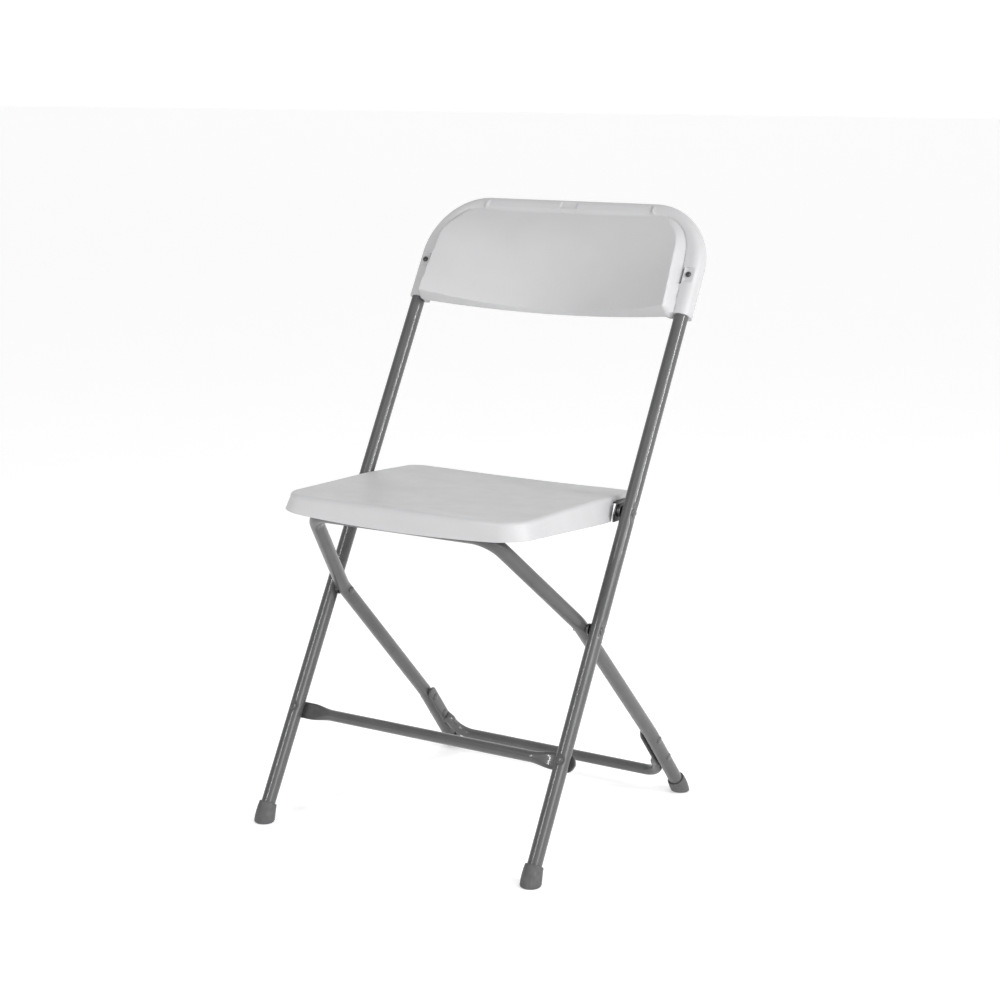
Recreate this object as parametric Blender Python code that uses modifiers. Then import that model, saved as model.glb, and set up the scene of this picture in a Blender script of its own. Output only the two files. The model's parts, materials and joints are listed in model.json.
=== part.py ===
"""A folding chair: a tubular steel front frame with a moulded backrest, a tubular rear frame that
crosses it at a scissor rivet, and a moulded seat that tips up between the front tubes.

Metres, +Z up, the chair faces -Y, and the origin is on the floor under the middle of the chair.
"""

import math

import bmesh
import bpy
from mathutils import Matrix, Vector

# Tubes, rivets and clearances
GAP = 0.0003
LEG_R = 0.0095
LEG_WALL = 0.0014
BAR_R = 0.0075
RIVET_R = 0.003
RIVET_HEAD_R = 0.0052
RIVET_HEAD_H = 0.0019
SPACER_R = 0.0075
HOLE_R = RIVET_R + GAP
HOLE_REACH = 0.02
ARC_STEP = math.radians(15)

# Screws: a pan head, as pairs of radius and depth behind the bearing face, and a plain shank
SCREW_R = 0.0018
SCREW_HEAD = ((0.0038, 0), (0.0038, -0.001), (0.0028, -0.0021), (0, -0.0024))
SCREW_HOLE_R = SCREW_R + GAP

# Front frame, measured along its tubes from the floor
FRONT_X = 0.210
FRONT_FOOT_Y = -0.219
LEAN = math.radians(28.55)
CROSSBAR_L = 0.1602
SCISSOR_L = 0.3313
SEAT_PIVOT_L = 0.4903
FRAME_TOP_L = 0.9078
FRAME_BEND_R = 0.078

# Flats pressed into the front tubes round their rivets: depth, half the flat, half the whole dent
PIVOT_FLAT = (0.0022, 0.007, 0.016)
CROSSBAR_FLAT = (0.0013, 0.0055, 0.0095)

# Crossbar: a round bar behind the tubes with flat ends
CROSSBAR_TAB_HALF = 0.0024
CROSSBAR_TAB_HEIGHT = 0.0112
CROSSBAR_FLAT_X = FRONT_X - 0.018
CROSSBAR_ROUND_X = CROSSBAR_FLAT_X - 0.035
CROSSBAR_END_X = FRONT_X + 0.0125
CROSSBAR_OUT = -(LEG_R + GAP + CROSSBAR_TAB_HALF)

# Rear frame, measured along its tubes from the scissor rivet, up positive
REAR_X = 0.187
REAR_LEAN = math.radians(44.8)
REAR_TAPER = math.radians(15.8)
REAR_TAPER_START = 0.0105
REAR_TAPER_R = 0.06
REAR_TOP_L = 0.190
REAR_TOP_KICK = math.radians(0.6)
REAR_TOP_BEND_R = 0.036
REAR_KNEE_L = -0.2632
REAR_KNEE_R = 0.06
REAR_FOOT_KICK = math.radians(5.0)
REAR_SPLAY = math.tan(math.radians(1.8))

# Rear brace, measured from the knee along the lower legs, up positive
BRACE_TOP = 0.004
BRACE_BAR = -0.0992
BRACE_BEND_R = 0.026
BRACE_RIVETS = (("upper", -0.014), ("lower", -0.0535))
BRACE_FLAT_END = -0.0605
BRACE_ROUND_START = -0.0705
BRACE_TAB_HALF = 0.0022
BRACE_TAB_WIDE = 0.0088

# Feet: rubber caps on the tubes, turned towards the vertical near the floor
FOOT_LENGTH = 0.028
FOOT_TOP_R = 0.0118
FRONT_FOOT_R = 0.0138
REAR_FOOT_R = 0.0130
FOOT_SOLE = 0.004
FOOT_RIM = 0.0012
FOOT_TURN_LENGTH = 0.014
FOOT_TURN = 0.0042
FOOT_CUT_REACH = Vector((0.04, 0.04, 0))
FOOT_CUT_DEPTH = Vector((0, 0, 0.05))

# Seat, measured from its pivot
SEAT_HALF_WIDTH = 0.1893
SEAT_FRONT = -0.2267
SEAT_REAR = 0.0868
SEAT_MIDDLE = (SEAT_FRONT + SEAT_REAR) / 2
SEAT_TOP = 0.0183
SEAT_WALL = 0.003
SEAT_FRONT_CORNER = 0.037
SEAT_REAR_CORNER = 0.03
SEAT_FRONT_BOW = 0.002
SEAT_EDGE_R = 0.0052
SEAT_DISH = 0.0045
SEAT_FALL_START = -0.05
SEAT_FALL_POWER = 1.3
SEAT_REAR_DROP = 0.0062

# Lower edge of the seat's skirt: heights at the front, at the front corners and along the sides
SEAT_LIP_FRONT = -0.0112
SEAT_LIP_CORNER = -0.0047
SEAT_LIP_SIDE = -0.0135
SEAT_LIP_SIDE_START = 0.04
SEAT_LIP_SIDE_LENGTH = 0.16
SEAT_REAR_SKIRT = 0.013
SEAT_REAR_SKIRT_START = 0.03
SEAT_REAR_SKIRT_BLEND = 0.03
SEAT_SKIRT_FLARE = 1.005

# Cut-outs in the seat's sides, where the front tubes pass: half sizes about a centre
CUTOUT_CENTRE = Vector((SEAT_HALF_WIDTH + 0.005, 0.026, -0.0251))
CUTOUT_HALF = Vector((0.030, 0.029, 0.0349))

# Seat hardware, measured from the seat's pivot
BRACKET_X = 0.1933
BRACKET_WALL = 0.002
BRACKET_INNER_X = 0.160
BRACKET_FRONT = -0.013
BRACKET_REAR = 0.046
BRACKET_BOTTOM = -0.0125
BRACKET_TOP = 0.0096
BRACKET_STEP = 0.0001
BRACKET_FLANGE_FRONT = 0.006
BRACKET_FLANGE_REAR = 0.044
BRACKET_SCREW_X = 0.170
BRACKET_SCREWS_Y = (0.014, 0.036)
BRACKET_SCREW_BITE = 0.0022
SADDLE_X = 0.085
SADDLE_WIDTH = 0.028
SADDLE_TOP = 0.0117
SADDLE_LIP = 0.0016
SADDLE_HEEL = 0.003
SADDLE_DROP = 0.0035
SADDLE_BORE_R = LEG_R + 0.0006
SADDLE_MOUTH_TOP = 0.0042

# Backrest, measured along the front frame from the floor
BACK_BOTTOM_L = 0.757
BACK_CURL_L = 0.02
BACK_CURL = 0.009
BACK_MIDDLE_L = 0.795
BACK_WALL = 0.005
BACK_TOP_L = 0.900
BACK_SAG = 0.027
BACK_SAG_TOP = 0.003
BACK_PROUD = 0.0145
BACK_PROUD_TOP = 0.009
BACK_MARGIN = 0.019
BACK_STEP = 0.0025
BACK_RIM_OUT = 0.001
SLEEVE_L = 0.7632
SLEEVE_R = 0.0122
SLEEVE_BACK = 0.0045
CHANNEL_L = 0.722
BACK_SCREW_L = 0.818
BACK_SCREW_SEAT = 0.0106
BACK_SCREW_REACH = 0.0065
BACK_RECESS_HALF = Vector((0.006, 0.008, 0.015))

SIDES = (("left", -1), ("right", 1))
X = Vector((1, 0, 0))
Y = Vector((0, 1, 0))
Z = Vector((0, 0, 1))


# --------------------------------------------------------------------- helpers


def new_collection(name, hidden=False):
    found = bpy.data.collections.new(name)
    bpy.context.scene.collection.children.link(found)
    found.hide_render = hidden
    return found


def material(name, colour, roughness, metallic):
    made = bpy.data.materials.new(name)
    made.use_nodes = True
    shader = made.node_tree.nodes["Principled BSDF"]
    shader.inputs["Base Color"].default_value = (*colour, 1)
    shader.inputs["Roughness"].default_value = roughness
    shader.inputs["Metallic"].default_value = metallic
    made.diffuse_color = (*colour, 1)
    return made


def frame_matrix(origin, lean):
    """Local X across the chair, Y up along a leaning frame, Z out of its front face."""
    up = Vector((0, math.sin(lean), math.cos(lean)))
    return Matrix.Translation(origin) @ Matrix((X, up, X.cross(up))).transposed().to_4x4()


def empty(name, matrix, parent=None):
    made = bpy.data.objects.new(name, None)
    made.empty_display_size = 0.05
    PARTS.objects.link(made)
    made.parent = parent
    made.matrix_local = matrix
    return made


def place(obj, parent, local=None, collection=None):
    """Hangs an object on a parent empty, with a matrix in the parent's own frame."""
    (collection or PARTS).objects.link(obj)
    obj.parent = parent
    obj.matrix_local = local or Matrix.Identity(4)
    if collection is CUTTERS:
        obj.hide_render = True
        obj.display_type = "WIRE"
    return obj


def mesh_object(name, mesh, parent, surface, local=None, collection=None):
    mesh.name = name
    if surface:
        mesh.materials.append(surface)
    return place(bpy.data.objects.new(name, mesh), parent, local, collection)


def mesh_of(shape, name):
    """A mesh from a bmesh, which is freed."""
    mesh = bpy.data.meshes.new(name)
    shape.to_mesh(mesh)
    shape.free()
    return mesh


def smooth(obj, angle=40):
    obj.data.shade_smooth()
    obj.data.set_sharp_from_angle(angle=math.radians(angle))
    return obj


def boolean(obj, other, operation="DIFFERENCE"):
    cut = obj.modifiers.new(operation.lower(), "BOOLEAN")
    cut.operation = operation
    cut.object = other
    cut.solver = "EXACT"


def solidify(obj, thickness, offset=-1.0, even=False):
    wall = obj.modifiers.new("wall", "SOLIDIFY")
    wall.thickness = thickness
    wall.offset = offset
    wall.use_even_offset = even


def ramp(value, start, end):
    """0 at start, 1 at end, and straight between."""
    return min(max((value - start) / (end - start), 0), 1)


def rounded_path(corners, radii, step=ARC_STEP):
    """A path through corner points, each rounded to its own radius."""
    points = [corners[0]]
    for before, corner, after, radius in zip(corners, corners[1:], corners[2:], radii):
        back = (before - corner).normalized()
        on = (after - corner).normalized()
        half = back.angle(on) / 2
        reach = radius / math.tan(half)
        centre = corner + (back + on).normalized() * radius / math.sin(half)
        first = corner + back * reach - centre
        last = corner + on * reach - centre
        sweep = first.angle(last)
        count = max(2, round(sweep / step))
        axis = first.cross(last).normalized()
        for i in range(count + 1):
            points.append(centre + Matrix.Rotation(sweep * i / count, 3, axis) @ first)
    return points + [corners[-1]]


def mirrored(points):
    """The same points on the other side of the chair, in the opposite order."""
    return [Vector((-p.x, p.y, p.z)) for p in reversed(points)]


def swept(name, points, radius, sides=16, caps=True):
    """A round tube or rod along points, as a closed mesh or an open skin."""
    curve = bpy.data.curves.new(name, "CURVE")
    curve.dimensions = "3D"
    curve.twist_mode = "MINIMUM"
    curve.bevel_depth = radius
    curve.bevel_resolution = sides // 4 - 1
    curve.use_fill_caps = caps
    spline = curve.splines.new("POLY")
    spline.points.add(len(points) - 1)
    for target, point in zip(spline.points, points):
        target.co = (*point, 1)
    guide = bpy.data.objects.new(name + "_path", curve)
    CUTTERS.objects.link(guide)
    graph = bpy.context.evaluated_depsgraph_get()
    mesh = bpy.data.meshes.new_from_object(guide.evaluated_get(graph))
    bpy.data.objects.remove(guide)
    shape = bmesh.new()
    shape.from_mesh(mesh)
    bmesh.ops.remove_doubles(shape, verts=shape.verts, dist=1e-5)
    bmesh.ops.recalc_face_normals(shape, faces=shape.faces)
    return mesh_of(shape, name)


def along(start, direction):
    """A placement at start with local Z along direction."""
    return Matrix.Translation(start) @ direction.to_track_quat("Z", "Y").to_matrix().to_4x4()


def hole(obj, name, spot, direction, parent, radius=HOLE_R, reach=HOLE_REACH, sides=12):
    """Cuts a round hole that reaches equally far both ways from a spot."""
    shape = bmesh.new()
    bmesh.ops.create_cone(
        shape, cap_ends=True, segments=sides, radius1=radius, radius2=radius, depth=2 * reach
    )
    local = along(spot, direction) @ Matrix.Rotation(math.pi / sides, 4, "Z")
    boolean(obj, mesh_object(name, mesh_of(shape, name), parent, None, local, CUTTERS))


def box(name, centre, half, parent, surface=None, collection=None):
    shape = bmesh.new()
    bmesh.ops.create_cube(shape, size=2)
    bmesh.ops.scale(shape, vec=half, verts=shape.verts)
    return mesh_object(
        name, mesh_of(shape, name), parent, surface, Matrix.Translation(centre), collection
    )


def box_between(name, low, high, parent, surface=None, collection=None):
    return box(name, (low + high) / 2, (high - low) / 2, parent, surface, collection)


def turned(name, profile, parent, surface, local, steps=12):
    """A solid turned about its local Z from a profile that runs down its outer side."""
    mesh = bpy.data.meshes.new(name)
    points = [(r, 0, z) for r, z in profile]
    mesh.from_pydata(points, [(i, i + 1) for i in range(len(points) - 1)], [])
    obj = mesh_object(name, mesh, parent, surface, local)
    screw_modifier = obj.modifiers.new("turn", "SCREW")
    screw_modifier.steps = steps
    screw_modifier.render_steps = steps
    screw_modifier.use_merge_vertices = True
    screw_modifier.merge_threshold = 1e-5
    screw_modifier.use_smooth_shade = True
    return obj


def dome(steps=3):
    """A rivet head's profile, from its crown out to its rim."""
    turns = [math.pi / 2 * i / steps for i in range(steps + 1)]
    return [(RIVET_HEAD_R * math.sin(t), RIVET_HEAD_H * math.cos(t)) for t in turns]


def rivet(name, start, end, parent):
    """A rivet whose two heads bear just outside start and end."""
    length = (end - start).length
    top = [(r, length + h) for r, h in dome()]
    bottom = [(r, -h) for r, h in reversed(dome())]
    profile = top + [(RIVET_R, length), (RIVET_R, 0)] + bottom
    return turned(name, profile, parent, POWDER, along(start, (end - start).normalized()))


def spacer(name, inner, outer, parent):
    """A flat ring between two pieces that turn on one rivet."""
    length = (outer - inner).length
    profile = [(HOLE_R, length), (SPACER_R, length), (SPACER_R, 0), (HOLE_R, 0), (HOLE_R, length)]
    return turned(name, profile, parent, STEEL, along(inner, (outer - inner).normalized()))


def screw(name, start, parent, direction, reach):
    """A pan-head screw bearing at start, with its shank running along direction."""
    profile = [(0, reach), (SCREW_R, reach), (SCREW_R, 0), *SCREW_HEAD]
    return turned(name, profile, parent, STEEL, along(start, direction))


# ----------------------------------------------------------------- front frame


def flat_stations(height, flat):
    """Where a tube needs rings so that a flat can be pressed into it."""
    _, core, reach = flat
    return [height - reach, height - core, height + core, height + reach]


def press_flat(mesh, spot, direction, flat):
    """Presses a flat into one side of a straight upright tube, round a spot of its centreline."""
    depth, core, reach = flat
    for vertex in mesh.vertices:
        offset = vertex.co - spot
        side = offset.dot(direction)
        limit = LEG_R - depth * (1 - ramp(abs(offset.y), core, reach))
        near = (offset - Y * offset.y).length < 2 * LEG_R
        if near and side > limit:
            vertex.co -= direction * (side - limit)


def front_path():
    start = FOOT_SOLE + GAP + LEG_R * math.tan(LEAN)
    heights = [start]
    heights += flat_stations(CROSSBAR_L, CROSSBAR_FLAT)
    heights += flat_stations(SCISSOR_L, PIVOT_FLAT)
    heights += flat_stations(SEAT_PIVOT_L, PIVOT_FLAT)
    left = [Vector((-FRONT_X, height, 0)) for height in heights]
    top = [Vector((-FRONT_X, FRAME_TOP_L, 0)), Vector((FRONT_X, FRAME_TOP_L, 0))]
    corners = [left[-1], *top, mirrored(left)[0]]
    bend = rounded_path(corners, [FRAME_BEND_R, FRAME_BEND_R])
    return left + bend[1:-1] + mirrored(left)


def build_front_tube():
    mesh = swept("front_leg_tube", front_path(), LEG_R, caps=False)
    for _, sign in SIDES:
        for height in (SCISSOR_L, SEAT_PIVOT_L):
            press_flat(mesh, Vector((sign * FRONT_X, height, 0)), sign * X, PIVOT_FLAT)
        press_flat(mesh, Vector((sign * FRONT_X, CROSSBAR_L, 0)), Z, CROSSBAR_FLAT)
    frame = smooth(mesh_object("front_leg_tube", mesh, front_frame, POWDER))
    solidify(frame, LEG_WALL)
    for side, sign in SIDES:
        for what, height, direction in (
            ("scissor", SCISSOR_L, X),
            ("seat", SEAT_PIVOT_L, X),
            ("crossbar", CROSSBAR_L, Z),
        ):
            spot = Vector((sign * FRONT_X, height, 0))
            hole(frame, f"{what}_hole_{side}", spot, direction, front_frame)
        spot = Vector((sign * FRONT_X, BACK_SCREW_L, LEG_R))
        reach = LEG_R / 2
        hole(frame, f"screw_hole_{side}", spot, Z, front_frame, SCREW_HOLE_R, reach)


def build_crossbar():
    steps = 5
    blend = [
        CROSSBAR_ROUND_X + (CROSSBAR_FLAT_X - CROSSBAR_ROUND_X) * i / steps for i in range(steps + 1)
    ]
    right = [Vector((x, 0, 0)) for x in (*blend, CROSSBAR_END_X)]
    mesh = swept("front_crossbar", mirrored(right) + right, BAR_R)
    for vertex in mesh.vertices:
        amount = ramp(abs(vertex.co.x), CROSSBAR_ROUND_X, CROSSBAR_FLAT_X)
        amount = amount * amount * (3 - 2 * amount)
        vertex.co.y *= 1 + amount * (CROSSBAR_TAB_HEIGHT / BAR_R - 1)
        vertex.co.z *= 1 + amount * (CROSSBAR_TAB_HALF / BAR_R - 1)
    local = Matrix.Translation((0, CROSSBAR_L, CROSSBAR_OUT))
    bar = smooth(mesh_object("front_crossbar", mesh, front_frame, POWDER, local))
    for side, sign in SIDES:
        spot = Vector((sign * FRONT_X, CROSSBAR_L, CROSSBAR_OUT))
        hole(bar, f"tab_hole_{side}", spot, Z, front_frame)
        back = spot - Z * (CROSSBAR_TAB_HALF + GAP)
        front = spot + Z * (LEG_R + GAP - CROSSBAR_FLAT[0] - CROSSBAR_OUT)
        rivet(f"crossbar_rivet_{side}", back, front, front_frame)


def foot(name, parent, base, direction, bottom_radius):
    """A rubber cap on a leg whose centreline meets the floor at base, with its sole cut level."""
    turn = parent.matrix_world.to_3x3()
    up = (turn @ direction).normalized()
    slope = math.tan(up.angle(Z))
    below = bottom_radius * slope + FOOT_SOLE
    bore = LEG_R + GAP
    profile = [
        (0, FOOT_SOLE + LEG_R * slope),
        (bore, FOOT_SOLE + LEG_R * slope),
        (bore, FOOT_LENGTH),
        (FOOT_TOP_R - FOOT_RIM, FOOT_LENGTH),
        (FOOT_TOP_R, FOOT_LENGTH - FOOT_RIM),
        (bottom_radius, FOOT_TURN_LENGTH / 2),
        (bottom_radius, 0),
        (bottom_radius, -below),
        (0, -below),
    ]
    local = along(base, direction)
    raw = turned(name, profile, parent, RUBBER, local, steps=20)
    graph = bpy.context.evaluated_depsgraph_get()
    mesh = bpy.data.meshes.new_from_object(raw.evaluated_get(graph))
    bpy.data.objects.remove(raw)
    level = Vector((up.x, up.y, 0)).normalized() * FOOT_TURN
    shift = (turn @ local.to_3x3()).inverted() @ level
    for vertex in mesh.vertices:
        if math.hypot(vertex.co.x, vertex.co.y) > bore + GAP or vertex.co.z < 0:
            vertex.co += shift * ramp(vertex.co.z, FOOT_TURN_LENGTH, 0)
    mesh.materials.clear()
    cap = mesh_object(name, mesh, parent, RUBBER, local)
    x, y, _ = parent.matrix_world @ base
    ground = Vector((x, y, 0))
    low = ground - FOOT_CUT_REACH - FOOT_CUT_DEPTH
    boolean(cap, box_between(f"{name}_floor", low, ground + FOOT_CUT_REACH, None, None, CUTTERS))


def build_front_feet():
    for side, sign in SIDES:
        foot(f"front_foot_{side}", front_frame, Vector((sign * FRONT_X, 0, 0)), Y, FRONT_FOOT_R)


# ------------------------------------------------------------------ rear frame


def lower_leg(sign, height):
    """A point of a rear leg's centreline below the knee, in the lower leg's frame."""
    return Vector((sign * (REAR_X - REAR_SPLAY * height), height, 0))


def rear_path():
    slope = math.tan((REAR @ LOWER).to_3x3().col[1].angle(Z))
    short = FOOT_SOLE + GAP + LEG_R * slope
    taper = REAR_TOP_L - REAR_TAPER_START
    inward = taper * math.tan(REAR_TAPER)
    forward = taper * math.tan(REAR_TOP_KICK)
    right = [
        LOWER @ lower_leg(1, short - LOWER_LENGTH),
        LOWER @ lower_leg(1, 0),
        Vector((REAR_X, REAR_TAPER_START, 0)),
        Vector((REAR_X - inward, REAR_TOP_L, forward)),
    ]
    radii = [REAR_KNEE_R, REAR_TAPER_R, REAR_TOP_BEND_R]
    return rounded_path(right + mirrored(right), radii + radii[::-1])


def build_rear_tube():
    mesh = swept("rear_leg_tube", rear_path(), LEG_R, caps=False)
    frame = smooth(mesh_object("rear_leg_tube", mesh, rear_frame, POWDER))
    solidify(frame, LEG_WALL)
    for side, sign in SIDES:
        hole(frame, f"rear_scissor_hole_{side}", Vector((sign * REAR_X, 0, 0)), X, rear_frame)
        for what, height in BRACE_RIVETS:
            spot = lower_leg(sign, height)
            hole(frame, f"{what}_leg_hole_{side}", spot, X, lower_frame)


def build_scissor():
    for side, sign in SIDES:
        centre = Vector((0, SCISSOR_L, 0))
        inner = centre + X * sign * (REAR_X - LEG_R - GAP)
        outer = centre + X * sign * (FRONT_X + LEG_R - PIVOT_FLAT[0] + GAP)
        rivet(f"scissor_rivet_{side}", inner, outer, front_frame)
        inner = centre + X * sign * (REAR_X + LEG_R + GAP)
        outer = centre + X * sign * (FRONT_X - LEG_R - GAP)
        spacer(f"scissor_spacer_{side}", inner, outer, front_frame)


def build_rear_feet():
    for side, sign in SIDES:
        base = LOWER @ lower_leg(sign, -LOWER_LENGTH)
        direction = (LOWER @ lower_leg(sign, 0) - base).normalized()
        foot(f"rear_foot_{side}", rear_frame, base, direction, REAR_FOOT_R)


def build_brace():
    """A bent bar whose flattened ends are riveted inside the rear legs, in the lower legs' plane."""
    tab_inset = Vector((LEG_R + GAP + BRACE_TAB_HALF, 0, 0))
    bar_inset = Vector((LEG_R + GAP + BAR_R, 0, 0))
    tab = [Vector((REAR_X, BRACE_TOP, 0)) - tab_inset]
    tab += [lower_leg(1, height) - tab_inset for height in (0, BRACE_FLAT_END)]
    start = lower_leg(1, BRACE_ROUND_START) - bar_inset
    corner = lower_leg(1, BRACE_BAR) - bar_inset
    bend = rounded_path([start, corner, Vector((0, BRACE_BAR, 0))], [BRACE_BEND_R])
    right = tab + bend[:-1]
    mesh = swept("rear_brace", right + mirrored(right), BAR_R)
    for vertex in mesh.vertices:
        amount = ramp(vertex.co.y, BRACE_ROUND_START, BRACE_FLAT_END)
        inset = bar_inset.x + (tab_inset.x - bar_inset.x) * amount
        side = math.copysign(1, vertex.co.x)
        centre = lower_leg(side, min(vertex.co.y, 0)).x - side * inset
        squeeze = 1 + amount * (BRACE_TAB_HALF / BAR_R - 1)
        vertex.co.x = centre + (vertex.co.x - centre) * squeeze
        vertex.co.z *= 1 + amount * (BRACE_TAB_WIDE / BAR_R - 1)
    brace = smooth(mesh_object("rear_brace", mesh, lower_frame, POWDER))
    for side, sign in SIDES:
        for what, height in BRACE_RIVETS:
            spot = lower_leg(sign, height)
            lean = RIVET_HEAD_R * REAR_SPLAY
            inner = spot - X * sign * (tab_inset.x + BRACE_TAB_HALF + GAP + lean)
            outer = spot + X * sign * (LEG_R + GAP + lean)
            tab_spot = spot - X * sign * tab_inset.x
            hole(brace, f"{what}_tab_hole_{side}", tab_spot, X, lower_frame, reach=BAR_R)
            rivet(f"brace_rivet_{side}_{what}", inner, outer, lower_frame)


# ------------------------------------------------------------------------ seat


def quarter(centre_x, centre_y, radius, start, steps):
    """Points on a quarter circle that turns to the left from a start angle in degrees."""
    turns = [math.radians(start + 90 * i / steps) for i in range(steps + 1)]
    return [(centre_x + radius * math.cos(t), centre_y + radius * math.sin(t)) for t in turns]


def seat_outline():
    """Half of the seat's outline, from the middle of its front edge round to its rear edge."""
    front_x = SEAT_HALF_WIDTH - SEAT_FRONT_CORNER
    front_y = SEAT_FRONT + SEAT_FRONT_BOW + SEAT_FRONT_CORNER
    rear_x = SEAT_HALF_WIDTH - SEAT_REAR_CORNER
    rear_y = SEAT_REAR - SEAT_REAR_CORNER
    steps = 5
    shares = [i / steps for i in range(steps)]
    points = [(front_x * s, SEAT_FRONT + SEAT_FRONT_BOW * s * s) for s in shares]
    points += quarter(front_x, front_y, SEAT_FRONT_CORNER, -90, steps + 1)
    points += [(SEAT_HALF_WIDTH, front_y + (rear_y - front_y) * s) for s in shares[1:]]
    points += quarter(rear_x, rear_y, SEAT_REAR_CORNER, 0, steps)
    points += [(rear_x * (1 - s), SEAT_REAR) for s in shares[1:]]
    return points + [(0, SEAT_REAR)]


def seat_top(x, y):
    """Height of the seat's top above its pivot: dished across and along, falling to the rear."""
    half = (SEAT_REAR - SEAT_FRONT) / 2
    dish = (1 - (x / SEAT_HALF_WIDTH) ** 2) * (1 - ((y - SEAT_MIDDLE) / half) ** 2)
    fall = ramp(y, SEAT_FALL_START, SEAT_REAR) ** SEAT_FALL_POWER
    return SEAT_TOP - SEAT_DISH * max(dish, 0) - SEAT_REAR_DROP * fall


def seat_lip(x, y):
    """Height of the skirt's lower edge: it arches down at the front, and is shallow at the rear."""
    across = (x / SEAT_HALF_WIDTH) ** 2
    front = SEAT_LIP_FRONT + (SEAT_LIP_CORNER - SEAT_LIP_FRONT) * across
    back = ramp(y - SEAT_FRONT - SEAT_LIP_SIDE_START, 0, SEAT_LIP_SIDE_LENGTH)
    side = SEAT_LIP_CORNER + (SEAT_LIP_SIDE - SEAT_LIP_CORNER) * back
    edge = ramp(abs(x), SEAT_HALF_WIDTH - SEAT_FRONT_CORNER, SEAT_HALF_WIDTH)
    deep = front + (side - front) * edge
    behind = ramp(y - SEAT_REAR_SKIRT_START, 0, SEAT_REAR_SKIRT_BLEND)
    return deep + (seat_top(x, y) - SEAT_REAR_SKIRT - deep) * behind


def seat_rings(outline):
    """Rings of points from inside the seat's top, over its rounded edge, down to the skirt's lip."""
    edge = SEAT_EDGE_R / SEAT_HALF_WIDTH
    shoulder = ((0.3, 0), (0.6, 0), (0.85, 0), (1 - edge, 0), (1 - edge * 0.3, 0.3), (1, 1))
    rings = []
    for scale, drop in shoulder:
        spots = [(x * scale, SEAT_MIDDLE + (y - SEAT_MIDDLE) * scale) for x, y in outline]
        rings.append([(x, y, seat_top(x, y) - SEAT_EDGE_R * drop) for x, y in spots])
    scale = SEAT_SKIRT_FLARE
    skirt = [
        (x * scale, SEAT_MIDDLE + (y - SEAT_MIDDLE) * scale, seat_lip(x, y)) for x, y in outline
    ]
    return rings + [skirt]


def build_seat_shell():
    half = seat_outline()
    outline = half + [(-x, y) for x, y in reversed(half[1:-1])]
    shape = bmesh.new()
    rings = [[shape.verts.new(point) for point in ring] for ring in seat_rings(outline)]
    count = len(outline)
    for inner, outer in zip(rings, rings[1:]):
        for i in range(count):
            after = (i + 1) % count
            shape.faces.new((inner[i], outer[i], outer[after], inner[after]))
    shape.faces.new(rings[0])
    bmesh.ops.recalc_face_normals(shape, faces=shape.faces)
    shell = smooth(mesh_object("seat_shell", mesh_of(shape, "seat_shell"), seat, PLASTIC))
    solidify(shell, SEAT_WALL, even=True)
    for side, sign in SIDES:
        centre = Vector((sign * CUTOUT_CENTRE.x, CUTOUT_CENTRE.y, CUTOUT_CENTRE.z))
        cutter = box(f"pivot_cutout_{side}", centre, CUTOUT_HALF, seat, None, CUTTERS)
        for vertex in cutter.data.vertices:
            vertex.co.y += math.tan(LEAN) * (vertex.co.z + centre.z)
        boolean(shell, cutter)
        for i, y in enumerate(BRACKET_SCREWS_Y):
            spot = Vector((sign * BRACKET_SCREW_X, y, BRACKET_TOP))
            name = f"seat_screw_hole_{side}_{i}"
            hole(shell, name, spot, Z, seat, SCREW_HOLE_R, BRACKET_SCREW_BITE + GAP)


def build_seat_brackets():
    for side, sign in SIDES:
        outer = sign * (BRACKET_X + BRACKET_WALL)
        plate = box_between(
            f"seat_pivot_bracket_{side}",
            Vector((min(sign * BRACKET_X, outer), BRACKET_FRONT, BRACKET_BOTTOM)),
            Vector((max(sign * BRACKET_X, outer), BRACKET_REAR, BRACKET_TOP)),
            seat,
            STEEL,
        )
        inner = sign * BRACKET_INNER_X
        flange = box_between(
            f"bracket_flange_{side}",
            Vector((min(inner, outer), BRACKET_FLANGE_FRONT, BRACKET_TOP - BRACKET_WALL)),
            Vector((max(inner, outer), BRACKET_FLANGE_REAR, BRACKET_TOP - BRACKET_STEP)),
            seat,
            None,
            CUTTERS,
        )
        boolean(plate, flange, "UNION")
        pivot = Vector((sign * BRACKET_X, 0, 0))
        hole(plate, f"bracket_pivot_hole_{side}", pivot, X, seat)
        for i, y in enumerate(BRACKET_SCREWS_Y):
            spot = Vector((sign * BRACKET_SCREW_X, y, BRACKET_TOP))
            hole(plate, f"flange_hole_{side}_{i}", spot, Z, seat, SCREW_HOLE_R)
            start = spot - Z * (BRACKET_WALL + GAP)
            reach = BRACKET_WALL + GAP + BRACKET_SCREW_BITE
            screw(f"bracket_screw_{side}_{i + 1}", start, seat, Z, reach)


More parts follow.
